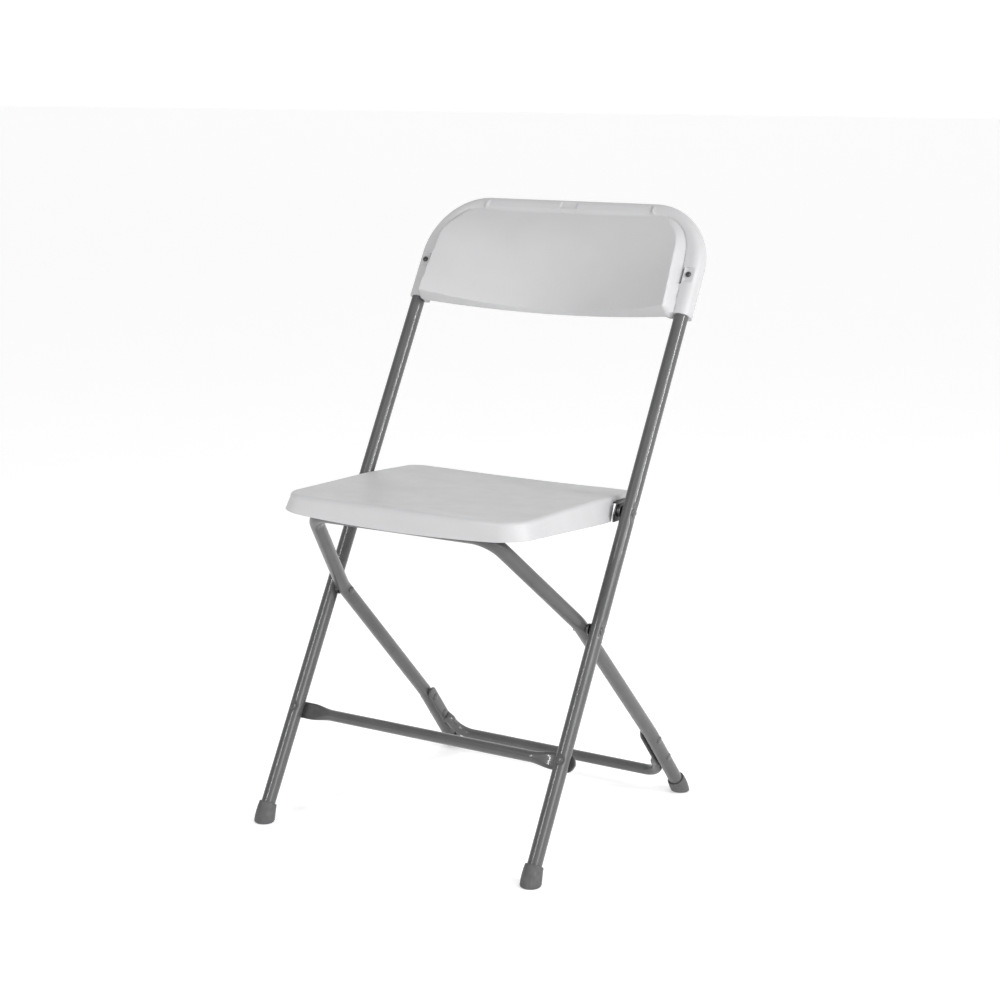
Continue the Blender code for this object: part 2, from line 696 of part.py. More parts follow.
def build_saddles():
    """Moulded saddles under the seat that sit on the rear frame's top bar when the chair is open."""
    taper = REAR_TOP_L - REAR_TAPER_START
    top = REAR @ Vector((0, REAR_TOP_L, taper * math.tan(REAR_TOP_KICK)))
    bar = top - SEAT_PIVOT
    for side, sign in SIDES:
        x = sign * SADDLE_X
        half = SADDLE_WIDTH / 2
        block = box_between(
            f"bar_saddle_{side}",
            Vector((x - half, bar.y - LEG_R - SADDLE_LIP, bar.z - SADDLE_DROP)),
            Vector((x + half, bar.y + LEG_R + SADDLE_HEEL, SADDLE_TOP)),
            seat,
            PLASTIC,
        )
        spot = Vector((x, bar.y, bar.z))
        hole(block, f"saddle_bore_{side}", spot, X, seat, SADDLE_BORE_R, SADDLE_WIDTH, sides=24)
        mouth = box_between(
            f"saddle_mouth_{side}",
            Vector((x - SADDLE_WIDTH, bar.y, bar.z - HOLE_REACH)),
            Vector((x + SADDLE_WIDTH, bar.y + 2 * HOLE_REACH, bar.z + SADDLE_MOUTH_TOP)),
            seat,
            None,
            CUTTERS,
        )
        boolean(block, mouth)


def build_seat_pivots():
    for side, sign in SIDES:
        centre = Vector((0, SEAT_PIVOT_L, 0))
        inner = centre + X * sign * (BRACKET_X - GAP)
        outer = centre + X * sign * (FRONT_X + LEG_R - PIVOT_FLAT[0] + GAP)
        rivet(f"seat_pivot_rivet_{side}", inner, outer, front_frame)
        inner = centre + X * sign * (BRACKET_X + BRACKET_WALL + GAP)
        outer = centre + X * sign * (FRONT_X - LEG_R - GAP)
        spacer(f"seat_pivot_spacer_{side}", inner, outer, front_frame)


# -------------------------------------------------------------------- backrest


def back_half_width(height):
    """Half the distance between the frame's centrelines at a height on the backrest."""
    above = max(height - (FRAME_TOP_L - FRAME_BEND_R), 0)
    return FRONT_X - FRAME_BEND_R + math.sqrt(max(FRAME_BEND_R**2 - above**2, 0))


def panel_out(x, height):
    """How far the panel's middle surface stands out of the frame's plane."""
    down = 1 - ramp(height, BACK_BOTTOM_L, BACK_TOP_L)
    sag = BACK_SAG_TOP + (BACK_SAG - BACK_SAG_TOP) * down
    proud = BACK_PROUD_TOP + (BACK_PROUD - BACK_PROUD_TOP) * down
    across = x / (FRONT_X - BACK_MARGIN)
    curl = 1 - ramp(height, BACK_BOTTOM_L, BACK_BOTTOM_L + BACK_CURL_L)
    return proud - sag * (1 - across * across) - BACK_CURL * curl


def panel_row(height, steps=6):
    """One level row of the panel, from rim to rim, with the step between panel and rim."""
    half = back_half_width(height)
    edge = half - BACK_MARGIN
    right = [(edge * i / steps, panel_out(edge * i / steps, height)) for i in range(steps + 1)]
    right += [(edge + BACK_STEP, BACK_RIM_OUT), (half, BACK_RIM_OUT)]
    row = [(-x, out) for x, out in reversed(right[1:])] + right
    return [(x, height, out) for x, out in row]


def back_arch(start):
    """The frame's centreline over the backrest, from a height on one side to the other."""
    left = [Vector((-FRONT_X, start, 0)), Vector((-FRONT_X, FRAME_TOP_L, 0))]
    return rounded_path(left + mirrored(left), [FRAME_BEND_R, FRAME_BEND_R])


def build_panel():
    """The panel between the tubes, as an open surface."""
    curl, bend = 3, 7
    heights = [BACK_BOTTOM_L + BACK_CURL_L * i / curl for i in range(curl + 1)]
    heights += [BACK_MIDDLE_L]
    turns = [math.pi / 2 * i / bend for i in range(bend + 1)]
    heights += [FRAME_TOP_L - FRAME_BEND_R + FRAME_BEND_R * math.sin(t) for t in turns]
    shape = bmesh.new()
    rows = [[shape.verts.new(point) for point in panel_row(height)] for height in heights]
    for lower, upper in zip(rows, rows[1:]):
        for i in range(len(lower) - 1):
            shape.faces.new((lower[i], lower[i + 1], upper[i + 1], upper[i]))
    return mesh_of(shape, "backrest")


def build_backrest():
    shell = smooth(mesh_object("backrest", build_panel(), front_frame, PLASTIC))
    solidify(shell, BACK_WALL, offset=0.0)
    sleeve = swept("sleeve", back_arch(SLEEVE_L), SLEEVE_R, sides=20)
    for vertex in sleeve.vertices:
        if vertex.co.z < 0:
            vertex.co.z *= (SLEEVE_R + SLEEVE_BACK) / SLEEVE_R
    boolean(shell, mesh_object("sleeve", sleeve, front_frame, None, None, CUTTERS), "UNION")
    channel = swept("channel", back_arch(CHANNEL_L), LEG_R + GAP)
    boolean(shell, mesh_object("channel", channel, front_frame, None, None, CUTTERS))
    for side, sign in SIDES:
        centre = Vector((sign * FRONT_X, BACK_SCREW_L, BACK_SCREW_SEAT + BACK_RECESS_HALF.z))
        recess = box(f"recess_{side}", centre, BACK_RECESS_HALF, front_frame, None, CUTTERS)
        boolean(shell, recess)
        start = Vector((sign * FRONT_X, BACK_SCREW_L, BACK_SCREW_SEAT + GAP))
        reach = BACK_SCREW_SEAT / 2
        hole(shell, f"screw_bore_{side}", start, Z, front_frame, SCREW_HOLE_R, reach)
        screw(f"backrest_screw_{side}", start, front_frame, -Z, BACK_SCREW_REACH)


# -------------------------------------------------------------------- assembly

for old in list(bpy.data.objects):
    bpy.data.objects.remove(old, do_unlink=True)

PARTS = new_collection("folding_chair")
CUTTERS = new_collection("cutters", hidden=True)

PLASTIC = material("light_grey_plastic", (0.62, 0.62, 0.63), 0.45, 0.0)
POWDER = material("grey_powder_coat", (0.13, 0.13, 0.135), 0.35, 0.1)
RUBBER = material("dark_grey_rubber", (0.09, 0.09, 0.092), 0.6, 0.0)
STEEL = material("zinc_plated_steel", (0.45, 0.45, 0.46), 0.35, 0.9)

FRONT = frame_matrix(Vector((0, FRONT_FOOT_Y, 0)), LEAN)
SCISSOR = FRONT @ Vector((0, SCISSOR_L, 0))
SEAT_PIVOT = FRONT @ Vector((0, SEAT_PIVOT_L, 0))
REAR = frame_matrix(SCISSOR, -REAR_LEAN)
LOWER = Matrix.Translation((0, REAR_KNEE_L, 0)) @ Matrix.Rotation(-REAR_FOOT_KICK, 4, "X")
LOWER_LENGTH = (REAR @ LOWER).translation.z / (REAR @ LOWER).col[1].z

front_frame = empty("front_frame", FRONT)
rear_frame = empty("rear_frame", REAR)
lower_frame = empty("rear_lower_legs", LOWER, rear_frame)
seat = empty("seat", Matrix.Translation(SEAT_PIVOT))
bpy.context.view_layer.update()

build_front_tube()
build_crossbar()
build_front_feet()
build_backrest()
build_rear_tube()
build_scissor()
build_rear_feet()
build_brace()
build_seat_shell()
build_seat_brackets()
build_saddles()
build_seat_pivots()
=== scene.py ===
import json
import math

import bmesh
import bpy
from mathutils import Matrix, Vector


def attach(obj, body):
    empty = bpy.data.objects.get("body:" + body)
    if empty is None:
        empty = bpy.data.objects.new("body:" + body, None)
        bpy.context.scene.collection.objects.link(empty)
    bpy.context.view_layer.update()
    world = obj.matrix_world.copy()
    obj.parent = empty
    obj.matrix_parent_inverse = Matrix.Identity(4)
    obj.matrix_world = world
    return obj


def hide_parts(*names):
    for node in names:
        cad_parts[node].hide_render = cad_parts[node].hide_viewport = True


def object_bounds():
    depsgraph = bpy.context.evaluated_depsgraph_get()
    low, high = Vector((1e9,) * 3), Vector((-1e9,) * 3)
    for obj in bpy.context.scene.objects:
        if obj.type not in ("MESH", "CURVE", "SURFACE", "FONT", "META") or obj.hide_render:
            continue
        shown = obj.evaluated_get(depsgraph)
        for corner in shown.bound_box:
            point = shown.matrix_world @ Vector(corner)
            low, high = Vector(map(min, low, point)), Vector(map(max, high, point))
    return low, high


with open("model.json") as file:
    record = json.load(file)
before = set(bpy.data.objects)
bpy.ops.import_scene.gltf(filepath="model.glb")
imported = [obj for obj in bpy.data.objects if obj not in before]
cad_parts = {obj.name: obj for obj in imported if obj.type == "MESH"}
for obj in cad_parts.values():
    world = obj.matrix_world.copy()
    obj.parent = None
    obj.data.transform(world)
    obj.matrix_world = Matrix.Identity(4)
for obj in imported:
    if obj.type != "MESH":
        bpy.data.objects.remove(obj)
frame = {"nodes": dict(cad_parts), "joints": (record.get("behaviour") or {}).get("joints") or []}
CAD_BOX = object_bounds()

# The looks of a folding chair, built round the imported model. Metres, +Z up, the chair faces -Y.

X = Vector((1, 0, 0))
Y = Vector((0, 1, 0))
Z = Vector((0, 0, 1))
SIDES = (("left", -1), ("right", 1))

# Tubes, bars and rivets
LEG_R = 0.0095
BAR_R = 0.0075
GAP = 0.0003
FINE_ARC = math.radians(3)
RIVET_HEAD_R = 0.0052
RIVET_HEAD_H = 0.0019

# Front frame, measured along its tubes from the floor
FRONT_X = 0.210
CROSSBAR_L = 0.1602
FRAME_TOP_L = 0.9078
FRAME_BEND_R = 0.078
PIVOT_FLAT = (0.0022, 0.007, 0.016)
RIVET_DIMPLE = (0.0013, 0.0035, 0.0085)
CROSSBAR_TAB_HALF = 0.0024
CROSSBAR_TAB_HEIGHT = 0.0112
CROSSBAR_FLAT_X = FRONT_X - 0.018
CROSSBAR_ROUND_X = CROSSBAR_FLAT_X - 0.035
CROSSBAR_END_X = FRONT_X + 0.0125
CROSSBAR_OUT = -(LEG_R + GAP + CROSSBAR_TAB_HALF)

# Rear frame, measured along its tubes from the scissor rivet
REAR_X = 0.187
REAR_LEAN = math.radians(44.8)
REAR_TAPER = math.radians(15.8)
REAR_TAPER_START = 0.0105
REAR_TAPER_R = 0.06
REAR_TOP_L = 0.190
REAR_TOP_KICK = math.radians(0.6)
REAR_TOP_BEND_R = 0.036
REAR_KNEE_L = -0.2632
REAR_KNEE_R = 0.06
REAR_FOOT_KICK = math.radians(5.0)
REAR_SPLAY = math.tan(math.radians(1.8))
BRACE_TOP = 0.004
BRACE_BAR = -0.0992
BRACE_BEND_R = 0.026
BRACE_RIVETS = (("upper", -0.014), ("lower", -0.0535))
BRACE_FLAT_END = -0.0605
BRACE_ROUND_START = -0.0705
BRACE_TAB_HALF = 0.0022
BRACE_TAB_WIDE = 0.0088

# Feet
FOOT_LENGTH = 0.028
FOOT_TOP_R = 0.0118
FRONT_FOOT_R = 0.0138
REAR_FOOT_R = 0.0130
FOOT_TURN = 0.0042
FOOT_STRAIGHT = 0.013
FOOT_SOLE_EDGE = 0.0032
FOOT_TOP_EDGE = 0.0009

# Seat, measured from its pivot
SEAT_HALF_WIDTH = 0.1893
SEAT_FRONT = -0.2267
SEAT_REAR = 0.0868
SEAT_MIDDLE = (SEAT_FRONT + SEAT_REAR) / 2
SEAT_TOP = 0.0183
SEAT_WALL = 0.003
SEAT_FRONT_CORNER = 0.037
SEAT_REAR_CORNER = 0.03
SEAT_FRONT_BOW = 0.002
SEAT_EDGE_R = 0.0060
SEAT_DISH = 0.0072
SEAT_DISH_POWER = 2.6
SEAT_REAR_DISH = 0.4
SEAT_FLARE = 0.0065
SEAT_FLARE_FROM = 0.115
SEAT_FALL_START = -0.05
SEAT_FALL_POWER = 1.3
SEAT_REAR_DROP = 0.0062
SEAT_LIP_FRONT = -0.0112
SEAT_LIP_CORNER = -0.0047
SEAT_LIP_SIDE = -0.0135
SEAT_LIP_SIDE_START = 0.04
SEAT_LIP_SIDE_LENGTH = 0.16
SEAT_REAR_SKIRT = 0.013
SEAT_REAR_SKIRT_START = 0.03
SEAT_REAR_SKIRT_BLEND = 0.03
CUTOUT_CENTRE = Vector((SEAT_HALF_WIDTH + 0.005, 0.026, -0.0251))
CUTOUT_HALF = Vector((0.030, 0.029, 0.0349))
CUTOUT_SLANT = 0.3
RIB_HALF = 0.0011
RIB_DEPTH = 0.0055

# Seat hardware
BRACKET_X = 0.1933
BRACKET_WALL = 0.002
BRACKET_TOP = 0.0096
BRACKET_CORNER = Vector((0, -0.83, 0.55)).normalized()
BRACKET_CORNER_REACH = 0.0088
BRACKET_SCREW_X = 0.170
BRACKET_SCREWS_Y = (0.014, 0.036)
SCREW_R = 0.0018

# Backrest, measured along the front frame from the floor
SLEEVE_R = 0.0122
SLEEVE_BACK = 0.0045
BACK_BOTTOM_L = 0.757
SLEEVE_L = 0.7632
BACK_SCREW_L = 0.818
BACK_SCREW_SEAT = 0.0106


# --------------------------------------------------------------------- helpers


def ramp(value, start, end):
    """0 at start, 1 at end, and straight between."""
    return min(max((value - start) / (end - start), 0), 1)


def ease(value, start, end):
    """0 at start, 1 at end, level at both."""
    share = ramp(value, start, end)
    return share * share * (3 - 2 * share)


def frame_matrix(origin, lean):
    """Local X across the chair, Y up along a leaning frame, Z out of its front face."""
    up = Vector((0, math.sin(lean), math.cos(lean)))
    return Matrix.Translation(origin) @ Matrix((X, up, X.cross(up))).transposed().to_4x4()


def along(start, direction):
    """A placement at start with local Z along direction."""
    return Matrix.Translation(start) @ direction.to_track_quat("Z", "Y").to_matrix().to_4x4()


def mirrored(points):
    """The same points on the other side of the chair, in the opposite order."""
    return [Vector((-p.x, p.y, p.z)) for p in reversed(points)]


def rounded_path(corners, radii, step=FINE_ARC):
    """A path through corner points, each rounded to its own radius."""
    points = [corners[0]]
    for before, corner, after, radius in zip(corners, corners[1:], corners[2:], radii):
        back = (before - corner).normalized()
        on = (after - corner).normalized()
        half = back.angle(on) / 2
        reach = radius / math.tan(half)
        centre = corner + (back + on).normalized() * radius / math.sin(half)
        first = corner + back * reach - centre
        last = corner + on * reach - centre
        sweep = first.angle(last)
        count = max(3, round(sweep / step))
        axis = first.cross(last).normalized()
        for i in range(count + 1):
            points.append(centre + Matrix.Rotation(sweep * i / count, 3, axis) @ first)
    return points + [corners[-1]]


def piece(name, shape, body, nodes, surface, angle=38):
    """Puts a bmesh, in world coordinates, into the scene as a visible piece."""
    bmesh.ops.recalc_face_normals(shape, faces=shape.faces)
    mesh = bpy.data.meshes.new(name)
    shape.to_mesh(mesh)
    shape.free()
    mesh.materials.append(surface)
    obj = bpy.data.objects.new(name, mesh)
    bpy.context.scene.collection.objects.link(obj)
    mesh.shade_smooth()
    mesh.set_sharp_from_angle(angle=math.radians(angle))
    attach(obj, body)
    if nodes:
        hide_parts(*nodes)
    return obj


def skin(shape, rings, closed_ends=True):
    """Joins rings of points, each the same length, into a closed skin."""
    made = [[shape.verts.new(point) for point in ring] for ring in rings]
    count = len(made[0])
    for lower, upper in zip(made, made[1:]):
        for i in range(count):
            after = (i + 1) % count
            shape.faces.new((lower[i], lower[after], upper[after], upper[i]))
    if closed_ends:
        shape.faces.new(made[0])
        shape.faces.new(made[-1])


def swept_rings(path, radius, sides):
    """Rings of points round a path, each square to it, with no twist between them."""
    rings = []
    across = None
    for i, point in enumerate(path):
        ahead = (path[min(i + 1, len(path) - 1)] - path[max(i - 1, 0)]).normalized()
        if across is None:
            across = ahead.orthogonal().normalized()
        across = (across - ahead * across.dot(ahead)).normalized()
        other = ahead.cross(across)
        turns = [2 * math.pi * k / sides for k in range(sides)]
        rings.append([point + (across * math.cos(t) + other * math.sin(t)) * radius for t in turns])
    return rings


def turned_rings(profile, local, steps=40):
    """Rings of points turned about local Z from pairs of radius and height."""
    turns = [2 * math.pi * k / steps for k in range(steps)]
    return [
        [local @ Vector((r * math.cos(t), r * math.sin(t), h)) for t in turns] for r, h in profile
    ]


def closed_turning(shape, profile, local, steps=40):
    """A turned solid whose profile starts and ends at a small flat on the axis."""
    skin(shape, turned_rings(profile, local, steps))


def ring_turning(shape, profile, local, steps=40):
    """A turned ring, from a profile that comes back to its start."""
    skin(shape, turned_rings(profile, local, steps), closed_ends=False)
    bmesh.ops.remove_doubles(shape, verts=shape.verts, dist=1e-6)


def stations(spots, reach, step):
    """Closely spaced places round each spot, for a path that needs detail there."""
    count = round(reach / step)
    return sorted(spot + step * i for spot in spots for i in range(-count, count + 1))


# ------------------------------------------------------------------- materials


class Surface:
    """Builds a Principled material whose colour, roughness and bump come from procedural nodes."""

    def __init__(self, name, metallic=0.0, specular=0.5, coat=0.0, coat_roughness=0.1):
        self.material = bpy.data.materials.new(name)
        self.material.use_nodes = True
        self.tree = self.material.node_tree
        self.shader = self.tree.nodes["Principled BSDF"]
        self.shader.inputs["Metallic"].default_value = metallic
        self.shader.inputs["Specular IOR Level"].default_value = specular
        self.shader.inputs["Coat Weight"].default_value = coat
        self.shader.inputs["Coat Roughness"].default_value = coat_roughness
        self.place = self.tree.nodes.new("ShaderNodeTexCoord").outputs["Object"]
        self.bump_normal = None

    def noise(self, scale, detail=3.0, stretch=(1, 1, 1), roughness=0.5):
        """A noise from 0 to 1, with scale in features for each metre."""
        mapping = self.tree.nodes.new("ShaderNodeMapping")
        mapping.inputs["Scale"].default_value = stretch
        texture = self.tree.nodes.new("ShaderNodeTexNoise")
        texture.inputs["Scale"].default_value = scale
        texture.inputs["Detail"].default_value = detail
        texture.inputs["Roughness"].default_value = roughness
        self.tree.links.new(self.place, mapping.inputs["Vector"])
        self.tree.links.new(mapping.outputs["Vector"], texture.inputs["Vector"])
        return texture.outputs["Fac"]

    def remap(self, value, low, high, to_low, to_high):
        node = self.tree.nodes.new("ShaderNodeMapRange")
        self.tree.links.new(value, node.inputs["Value"])
        for name, number in (
            ("From Min", low),
            ("From Max", high),
            ("To Min", to_low),
            ("To Max", to_high),
        ):
            node.inputs[name].default_value = number
        return node.outputs["Result"]

    def math(self, operation, a, b):
        node = self.tree.nodes.new("ShaderNodeMath")
        node.operation = operation
        for socket, value in zip(node.inputs, (a, b)):
            if isinstance(value, (int, float)):
                socket.default_value = value
            else:
                self.tree.links.new(value, socket)
        return node.outputs["Value"]

    def mix(self, share, first, second):
        """A colour between two, each a colour or another node's colour."""
        node = self.tree.nodes.new("ShaderNodeMix")
        node.data_type = "RGBA"
        self.tree.links.new(share, node.inputs["Factor"])
        for socket, value in ((node.inputs[6], first), (node.inputs[7], second)):
            if isinstance(value, tuple):
                socket.default_value = (*value, 1)
            else:
                self.tree.links.new(value, socket)
        return node.outputs[2]

    def edges(self, low=0.52, high=0.62):
        """0 on flat faces, rising to 1 on sharp outer edges."""
        geometry = self.tree.nodes.new("ShaderNodeNewGeometry")
        return self.remap(geometry.outputs["Pointiness"], low, high, 0.0, 1.0)

    def bump(self, height, strength, distance):
        node = self.tree.nodes.new("ShaderNodeBump")
        node.inputs["Strength"].default_value = strength
        node.inputs["Distance"].default_value = distance
        self.tree.links.new(height, node.inputs["Height"])
        if self.bump_normal:
            self.tree.links.new(self.bump_normal, node.inputs["Normal"])
        self.bump_normal = node.outputs["Normal"]

    def finish(self, colour, roughness):
        self.tree.links.new(colour, self.shader.inputs["Base Color"])
        self.tree.links.new(roughness, self.shader.inputs["Roughness"])
        if self.bump_normal:
            self.tree.links.new(self.bump_normal, self.shader.inputs["Normal"])
        return self.material


def plastic_surface():
    """Light grey polypropylene: a fine spark-eroded grain, faint flow marks and light scuffs."""
    made = Surface("moulded_plastic", specular=0.42)
    flow = made.noise(9, 4, (1, 2.5, 1))
    cloud = made.noise(55, 5)
    colour = made.mix(made.remap(flow, 0.35, 0.65, 0, 1), (0.458, 0.458, 0.465), (0.482, 0.482, 0.489))
    colour = made.mix(made.remap(cloud, 0.68, 0.85, 0, 0.35), colour, (0.40, 0.40, 0.404))
    scuff = made.noise(260, 2, (1, 0.06, 1))
    scuffs = made.remap(scuff, 0.66, 0.74, 0, 1)
    colour = made.mix(made.math("MULTIPLY", scuffs, 0.10), colour, (0.60, 0.60, 0.60))
    colour = made.mix(made.math("MULTIPLY", made.edges(0.53, 0.64), 0.18), colour, (0.56, 0.56, 0.565))
    grain = made.noise(1500, 2)
    made.bump(grain, 0.22, 0.00012)
    made.bump(made.noise(26, 2), 0.10, 0.0009)
    made.bump(scuff, 0.04, 0.0002)
    rough = made.remap(made.noise(38, 4), 0.3, 0.7, 0.40, 0.50)
    rough = made.math("SUBTRACT", rough, made.math("MULTIPLY", scuffs, 0.06))
    return made.finish(colour, rough)


def powder_surface():
    """Semi-gloss grey powder coat: orange peel, dust nibs and a little rubbing on the edges."""
    made = Surface("powder_coat", specular=0.38, coat=0.45, coat_roughness=0.07)
    cloud = made.noise(30, 4)
    colour = made.mix(made.remap(cloud, 0.3, 0.7, 0, 1), (0.066, 0.066, 0.068), (0.079, 0.079, 0.081))
    nibs = made.remap(made.noise(900, 2), 0.70, 0.80, 0, 1)
    colour = made.mix(made.math("MULTIPLY", nibs, 0.35), colour, (0.15, 0.15, 0.15))
    colour = made.mix(made.math("MULTIPLY", made.edges(0.56, 0.68), 0.30), colour, (0.16, 0.16, 0.162))
    made.bump(made.noise(420, 3), 0.10, 0.00025)
    made.bump(nibs, 0.10, 0.00006)
    rough = made.remap(made.noise(75, 4), 0.3, 0.7, 0.30, 0.40)
    return made.finish(colour, rough)


def rubber_surface():
    """Dark grey PVC caps: matt, with dust in the pores and scuffs near the sole."""
    made = Surface("cap_rubber", specular=0.4)
    dust = made.remap(made.noise(120, 5), 0.45, 0.75, 0, 1)
    colour = made.mix(dust, (0.078, 0.078, 0.080), (0.104, 0.104, 0.104))
    scrape = made.remap(made.noise(210, 3, (1, 1, 0.15)), 0.62, 0.75, 0, 0.5)
    colour = made.mix(scrape, colour, (0.135, 0.135, 0.133))
    made.bump(made.noise(700, 3), 0.25, 0.0002)
    made.bump(made.noise(140, 2), 0.15, 0.0004)
    rough = made.remap(made.noise(60, 3), 0.3, 0.7, 0.46, 0.62)
    return made.finish(colour, rough)


def steel_with_painted_shade_surface():
    """Zinc-plated steel, its colour darkened far below bright zinc as painted shade for the shaded
    cavities round the seat pivots and in the screw holes: a brushed grain under a slightly blotchy
    plating.
    """
    made = Surface("zinc_steel", metallic=0.9, specular=0.5)
    blotch = made.remap(made.noise(90, 5), 0.3, 0.7, 0, 1)
    # Painted shade: both colours are much darker than zinc plating, so that the parts look as if they sit
    # in shade. The blotch only mixes between these two darkened tones.
    colour = made.mix(blotch, (0.07, 0.07, 0.073), (0.11, 0.11, 0.112))
    brushed = made.noise(500, 3, (1, 0.04, 0.04))
    made.bump(brushed, 0.12, 0.0001)
    rough = made.remap(brushed, 0.3, 0.7, 0.30, 0.46)
    return made.finish(colour, rough)


def floor_surface():
    """A pale studio floor with the faintest unevenness."""
    made = Surface("studio_floor", specular=0.2)
    colour = made.mix(made.noise(3, 3), (0.90, 0.90, 0.90), (0.92, 0.92, 0.92))
    made.shader.inputs["Emission Color"].default_value = (1, 1, 1, 1)
    made.shader.inputs["Emission Strength"].default_value = 0.30
    made.bump(made.noise(60, 3), 0.03, 0.0005)
    return made.finish(colour, made.remap(made.noise(20, 3), 0.3, 0.7, 0.62, 0.72))


PLASTIC = plastic_surface()
POWDER = powder_surface()
RUBBER = rubber_surface()
# Steel with painted shade in its colour, used for the spacers, the pivot plates and the screws.
STEEL_WITH_PAINTED_SHADE = steel_with_painted_shade_surface()


# ------------------------------------------------------------- frames of the parts

PIVOTS = {joint["name"]: Vector(joint["pos_m"]) for joint in frame["joints"]}
SCISSOR = PIVOTS["rear_frame_fold"]
SEAT_PIVOT = PIVOTS["seat_fold"]
LEAN = math.atan2((SEAT_PIVOT - SCISSOR).y, (SEAT_PIVOT - SCISSOR).z)
UP_FRONT = (SEAT_PIVOT - SCISSOR).normalized()
SCISSOR_L = SCISSOR.z / math.cos(LEAN)
SEAT_PIVOT_L = SEAT_PIVOT.z / math.cos(LEAN)
FRONT = frame_matrix(SCISSOR - UP_FRONT * SCISSOR_L, LEAN)
REAR = frame_matrix(SCISSOR, -REAR_LEAN)
KNEE = Matrix.Translation((0, REAR_KNEE_L, 0)) @ Matrix.Rotation(-REAR_FOOT_KICK, 4, "X")
LOWER = REAR @ KNEE
LOWER_LENGTH = LOWER.translation.z / LOWER.col[1].z


def to_world(matrix, rings):
    return [[matrix @ point for point in ring] for ring in rings]


# ----------------------------------------------------------------- front frame


def press(point, spot, direction, limit_at):
    """Moves a point of a tube's skin back behind a pressed face, with a softened crease."""
    offset = point - spot
    side = offset.dot(direction)
    limit = limit_at(offset)
    if limit is None or side < 0 or (offset - Y * offset.y).length > 2 * LEG_R:
        return point
    crease = 0.0005
    over = side - limit
    softened = (over + math.sqrt(over * over + crease * crease)) / 2
    return point - direction * softened


def flat_limit(flat):
    depth, core, reach = flat

    def limit(offset):
        if abs(offset.y) > reach:
            return None
        return LEG_R - depth * (1 - ease(abs(offset.y), core, reach))

    return limit


def press_dimple(point, spot, direction, dimple):
    """Sinks a round dent, as a rivet leaves when it is closed on a tube."""
    depth, core, reach = dimple
    offset = point - spot
    side = offset.dot(direction)
    distance = (offset - direction * side).length
    if side < 0 or side > 2 * LEG_R or distance > reach:
        return point
    return point - direction * depth * (1 - ease(distance, core, reach))


def leg_path(start, spots, top):
    """Stations up a straight leg, close together round each spot."""
    heights = [start] + [h for h in stations(spots, 0.0165, 0.00075) if h > start]
    return [Vector((-FRONT_X, h, 0)) for h in sorted(set(heights))], top


def build_front_tube():
    start = 0.006 + LEG_R * math.tan(LEAN)
    left, _ = leg_path(start, (CROSSBAR_L, SCISSOR_L, SEAT_PIVOT_L), FRAME_TOP_L)
    left += [Vector((-FRONT_X, BACK_BOTTOM_L - 0.03, 0))]
    top = [Vector((-FRONT_X, FRAME_TOP_L, 0)), Vector((FRONT_X, FRAME_TOP_L, 0))]
    bend = rounded_path([left[-1], *top, mirrored(left)[0]], [FRAME_BEND_R, FRAME_BEND_R])
    path = left + bend[1:-1] + mirrored(left)
    rings = swept_rings(path, LEG_R, 48)
    for _, sign in SIDES:
        for height in (SCISSOR_L, SEAT_PIVOT_L):
            spot = Vector((sign * FRONT_X, height, 0))
            limit = flat_limit(PIVOT_FLAT)
            rings = [[press(p, spot, sign * X, limit) for p in ring] for ring in rings]
        spot = Vector((sign * FRONT_X, CROSSBAR_L, 0))
        rings = [[press_dimple(p, spot, Z, RIVET_DIMPLE) for p in ring] for ring in rings]
    shape = bmesh.new()
    skin(shape, to_world(FRONT, rings))
    piece("front_tube", shape, "front_frame", ["front_leg_tube"], POWDER, 60)


def rounded_tab(reach_left, length):
    """How wide a tab still is at a distance from its round end, as a share of its width."""
    if reach_left >= length:
        return 1.0
    return math.sqrt(max(1 - (1 - reach_left / length) ** 2, 0.0004))


def build_crossbar():
    count = 26
    blend = [
        CROSSBAR_ROUND_X + (CROSSBAR_FLAT_X - CROSSBAR_ROUND_X) * i / count for i in range(count + 1)
    ]
    corner = 0.0095
    round_end = [CROSSBAR_END_X - corner * (1 - math.sin(math.radians(90 * i / 12))) for i in range(13)]
    places = [i * CROSSBAR_ROUND_X / 8 for i in range(8)] + blend + round_end
    right = [Vector((x, 0, 0)) for x in places]
    rings = swept_rings(mirrored(right[1:]) + right, BAR_R, 40)
    local = FRONT @ Matrix.Translation((0, CROSSBAR_L, CROSSBAR_OUT))
    shaped = []
    for ring in rings:
        points = []
        for point in ring:
            amount = ease(abs(point.x), CROSSBAR_ROUND_X, CROSSBAR_FLAT_X)
            height = 1 + amount * (CROSSBAR_TAB_HEIGHT / BAR_R - 1)
            depth = 1 + amount * (CROSSBAR_TAB_HALF / BAR_R - 1)
            width = rounded_tab(CROSSBAR_END_X - abs(point.x), corner)
            # A flattened tube keeps a shallow hollow between its two folded edges.
            hollow = 1 - 0.35 * amount * (1 - abs(point.y) / BAR_R)
            y, z = point.y * height * width, point.z * depth * hollow
            points.append(local @ Vector((point.x, y, z)))
        shaped.append(points)
    shape = bmesh.new()
    skin(shape, shaped)
    piece("crossbar", shape, "front_frame", ["front_crossbar"], POWDER, 50)


def head_profile(height=RIVET_HEAD_H, radius=RIVET_HEAD_R, steps=9):
    """A domed rivet head with a small rolled rim."""
    turns = [math.pi / 2 * i / steps for i in range(steps + 1)]
    dome = [(radius * math.sin(t) + 1e-5, height * (0.12 + 0.88 * math.cos(t))) for t in turns]
    return dome + [(radius * 0.985, 0.0)]


def build_rivet(name, start, end, body, node, tail_radius=RIVET_HEAD_R):
    """A rivet with a domed head at each end."""
    length = (end - start).length
    head = head_profile()
    tail = head_profile(radius=tail_radius)
    profile = [(r, length + h) for r, h in head] + [(0.003, length)]
    profile += [(0.003, 0)] + [(r, -h) for r, h in reversed(tail)]
    shape = bmesh.new()
    closed_turning(shape, profile, along(start, (end - start).normalized()), 36)
    piece(name, shape, body, [node], POWDER, 50)


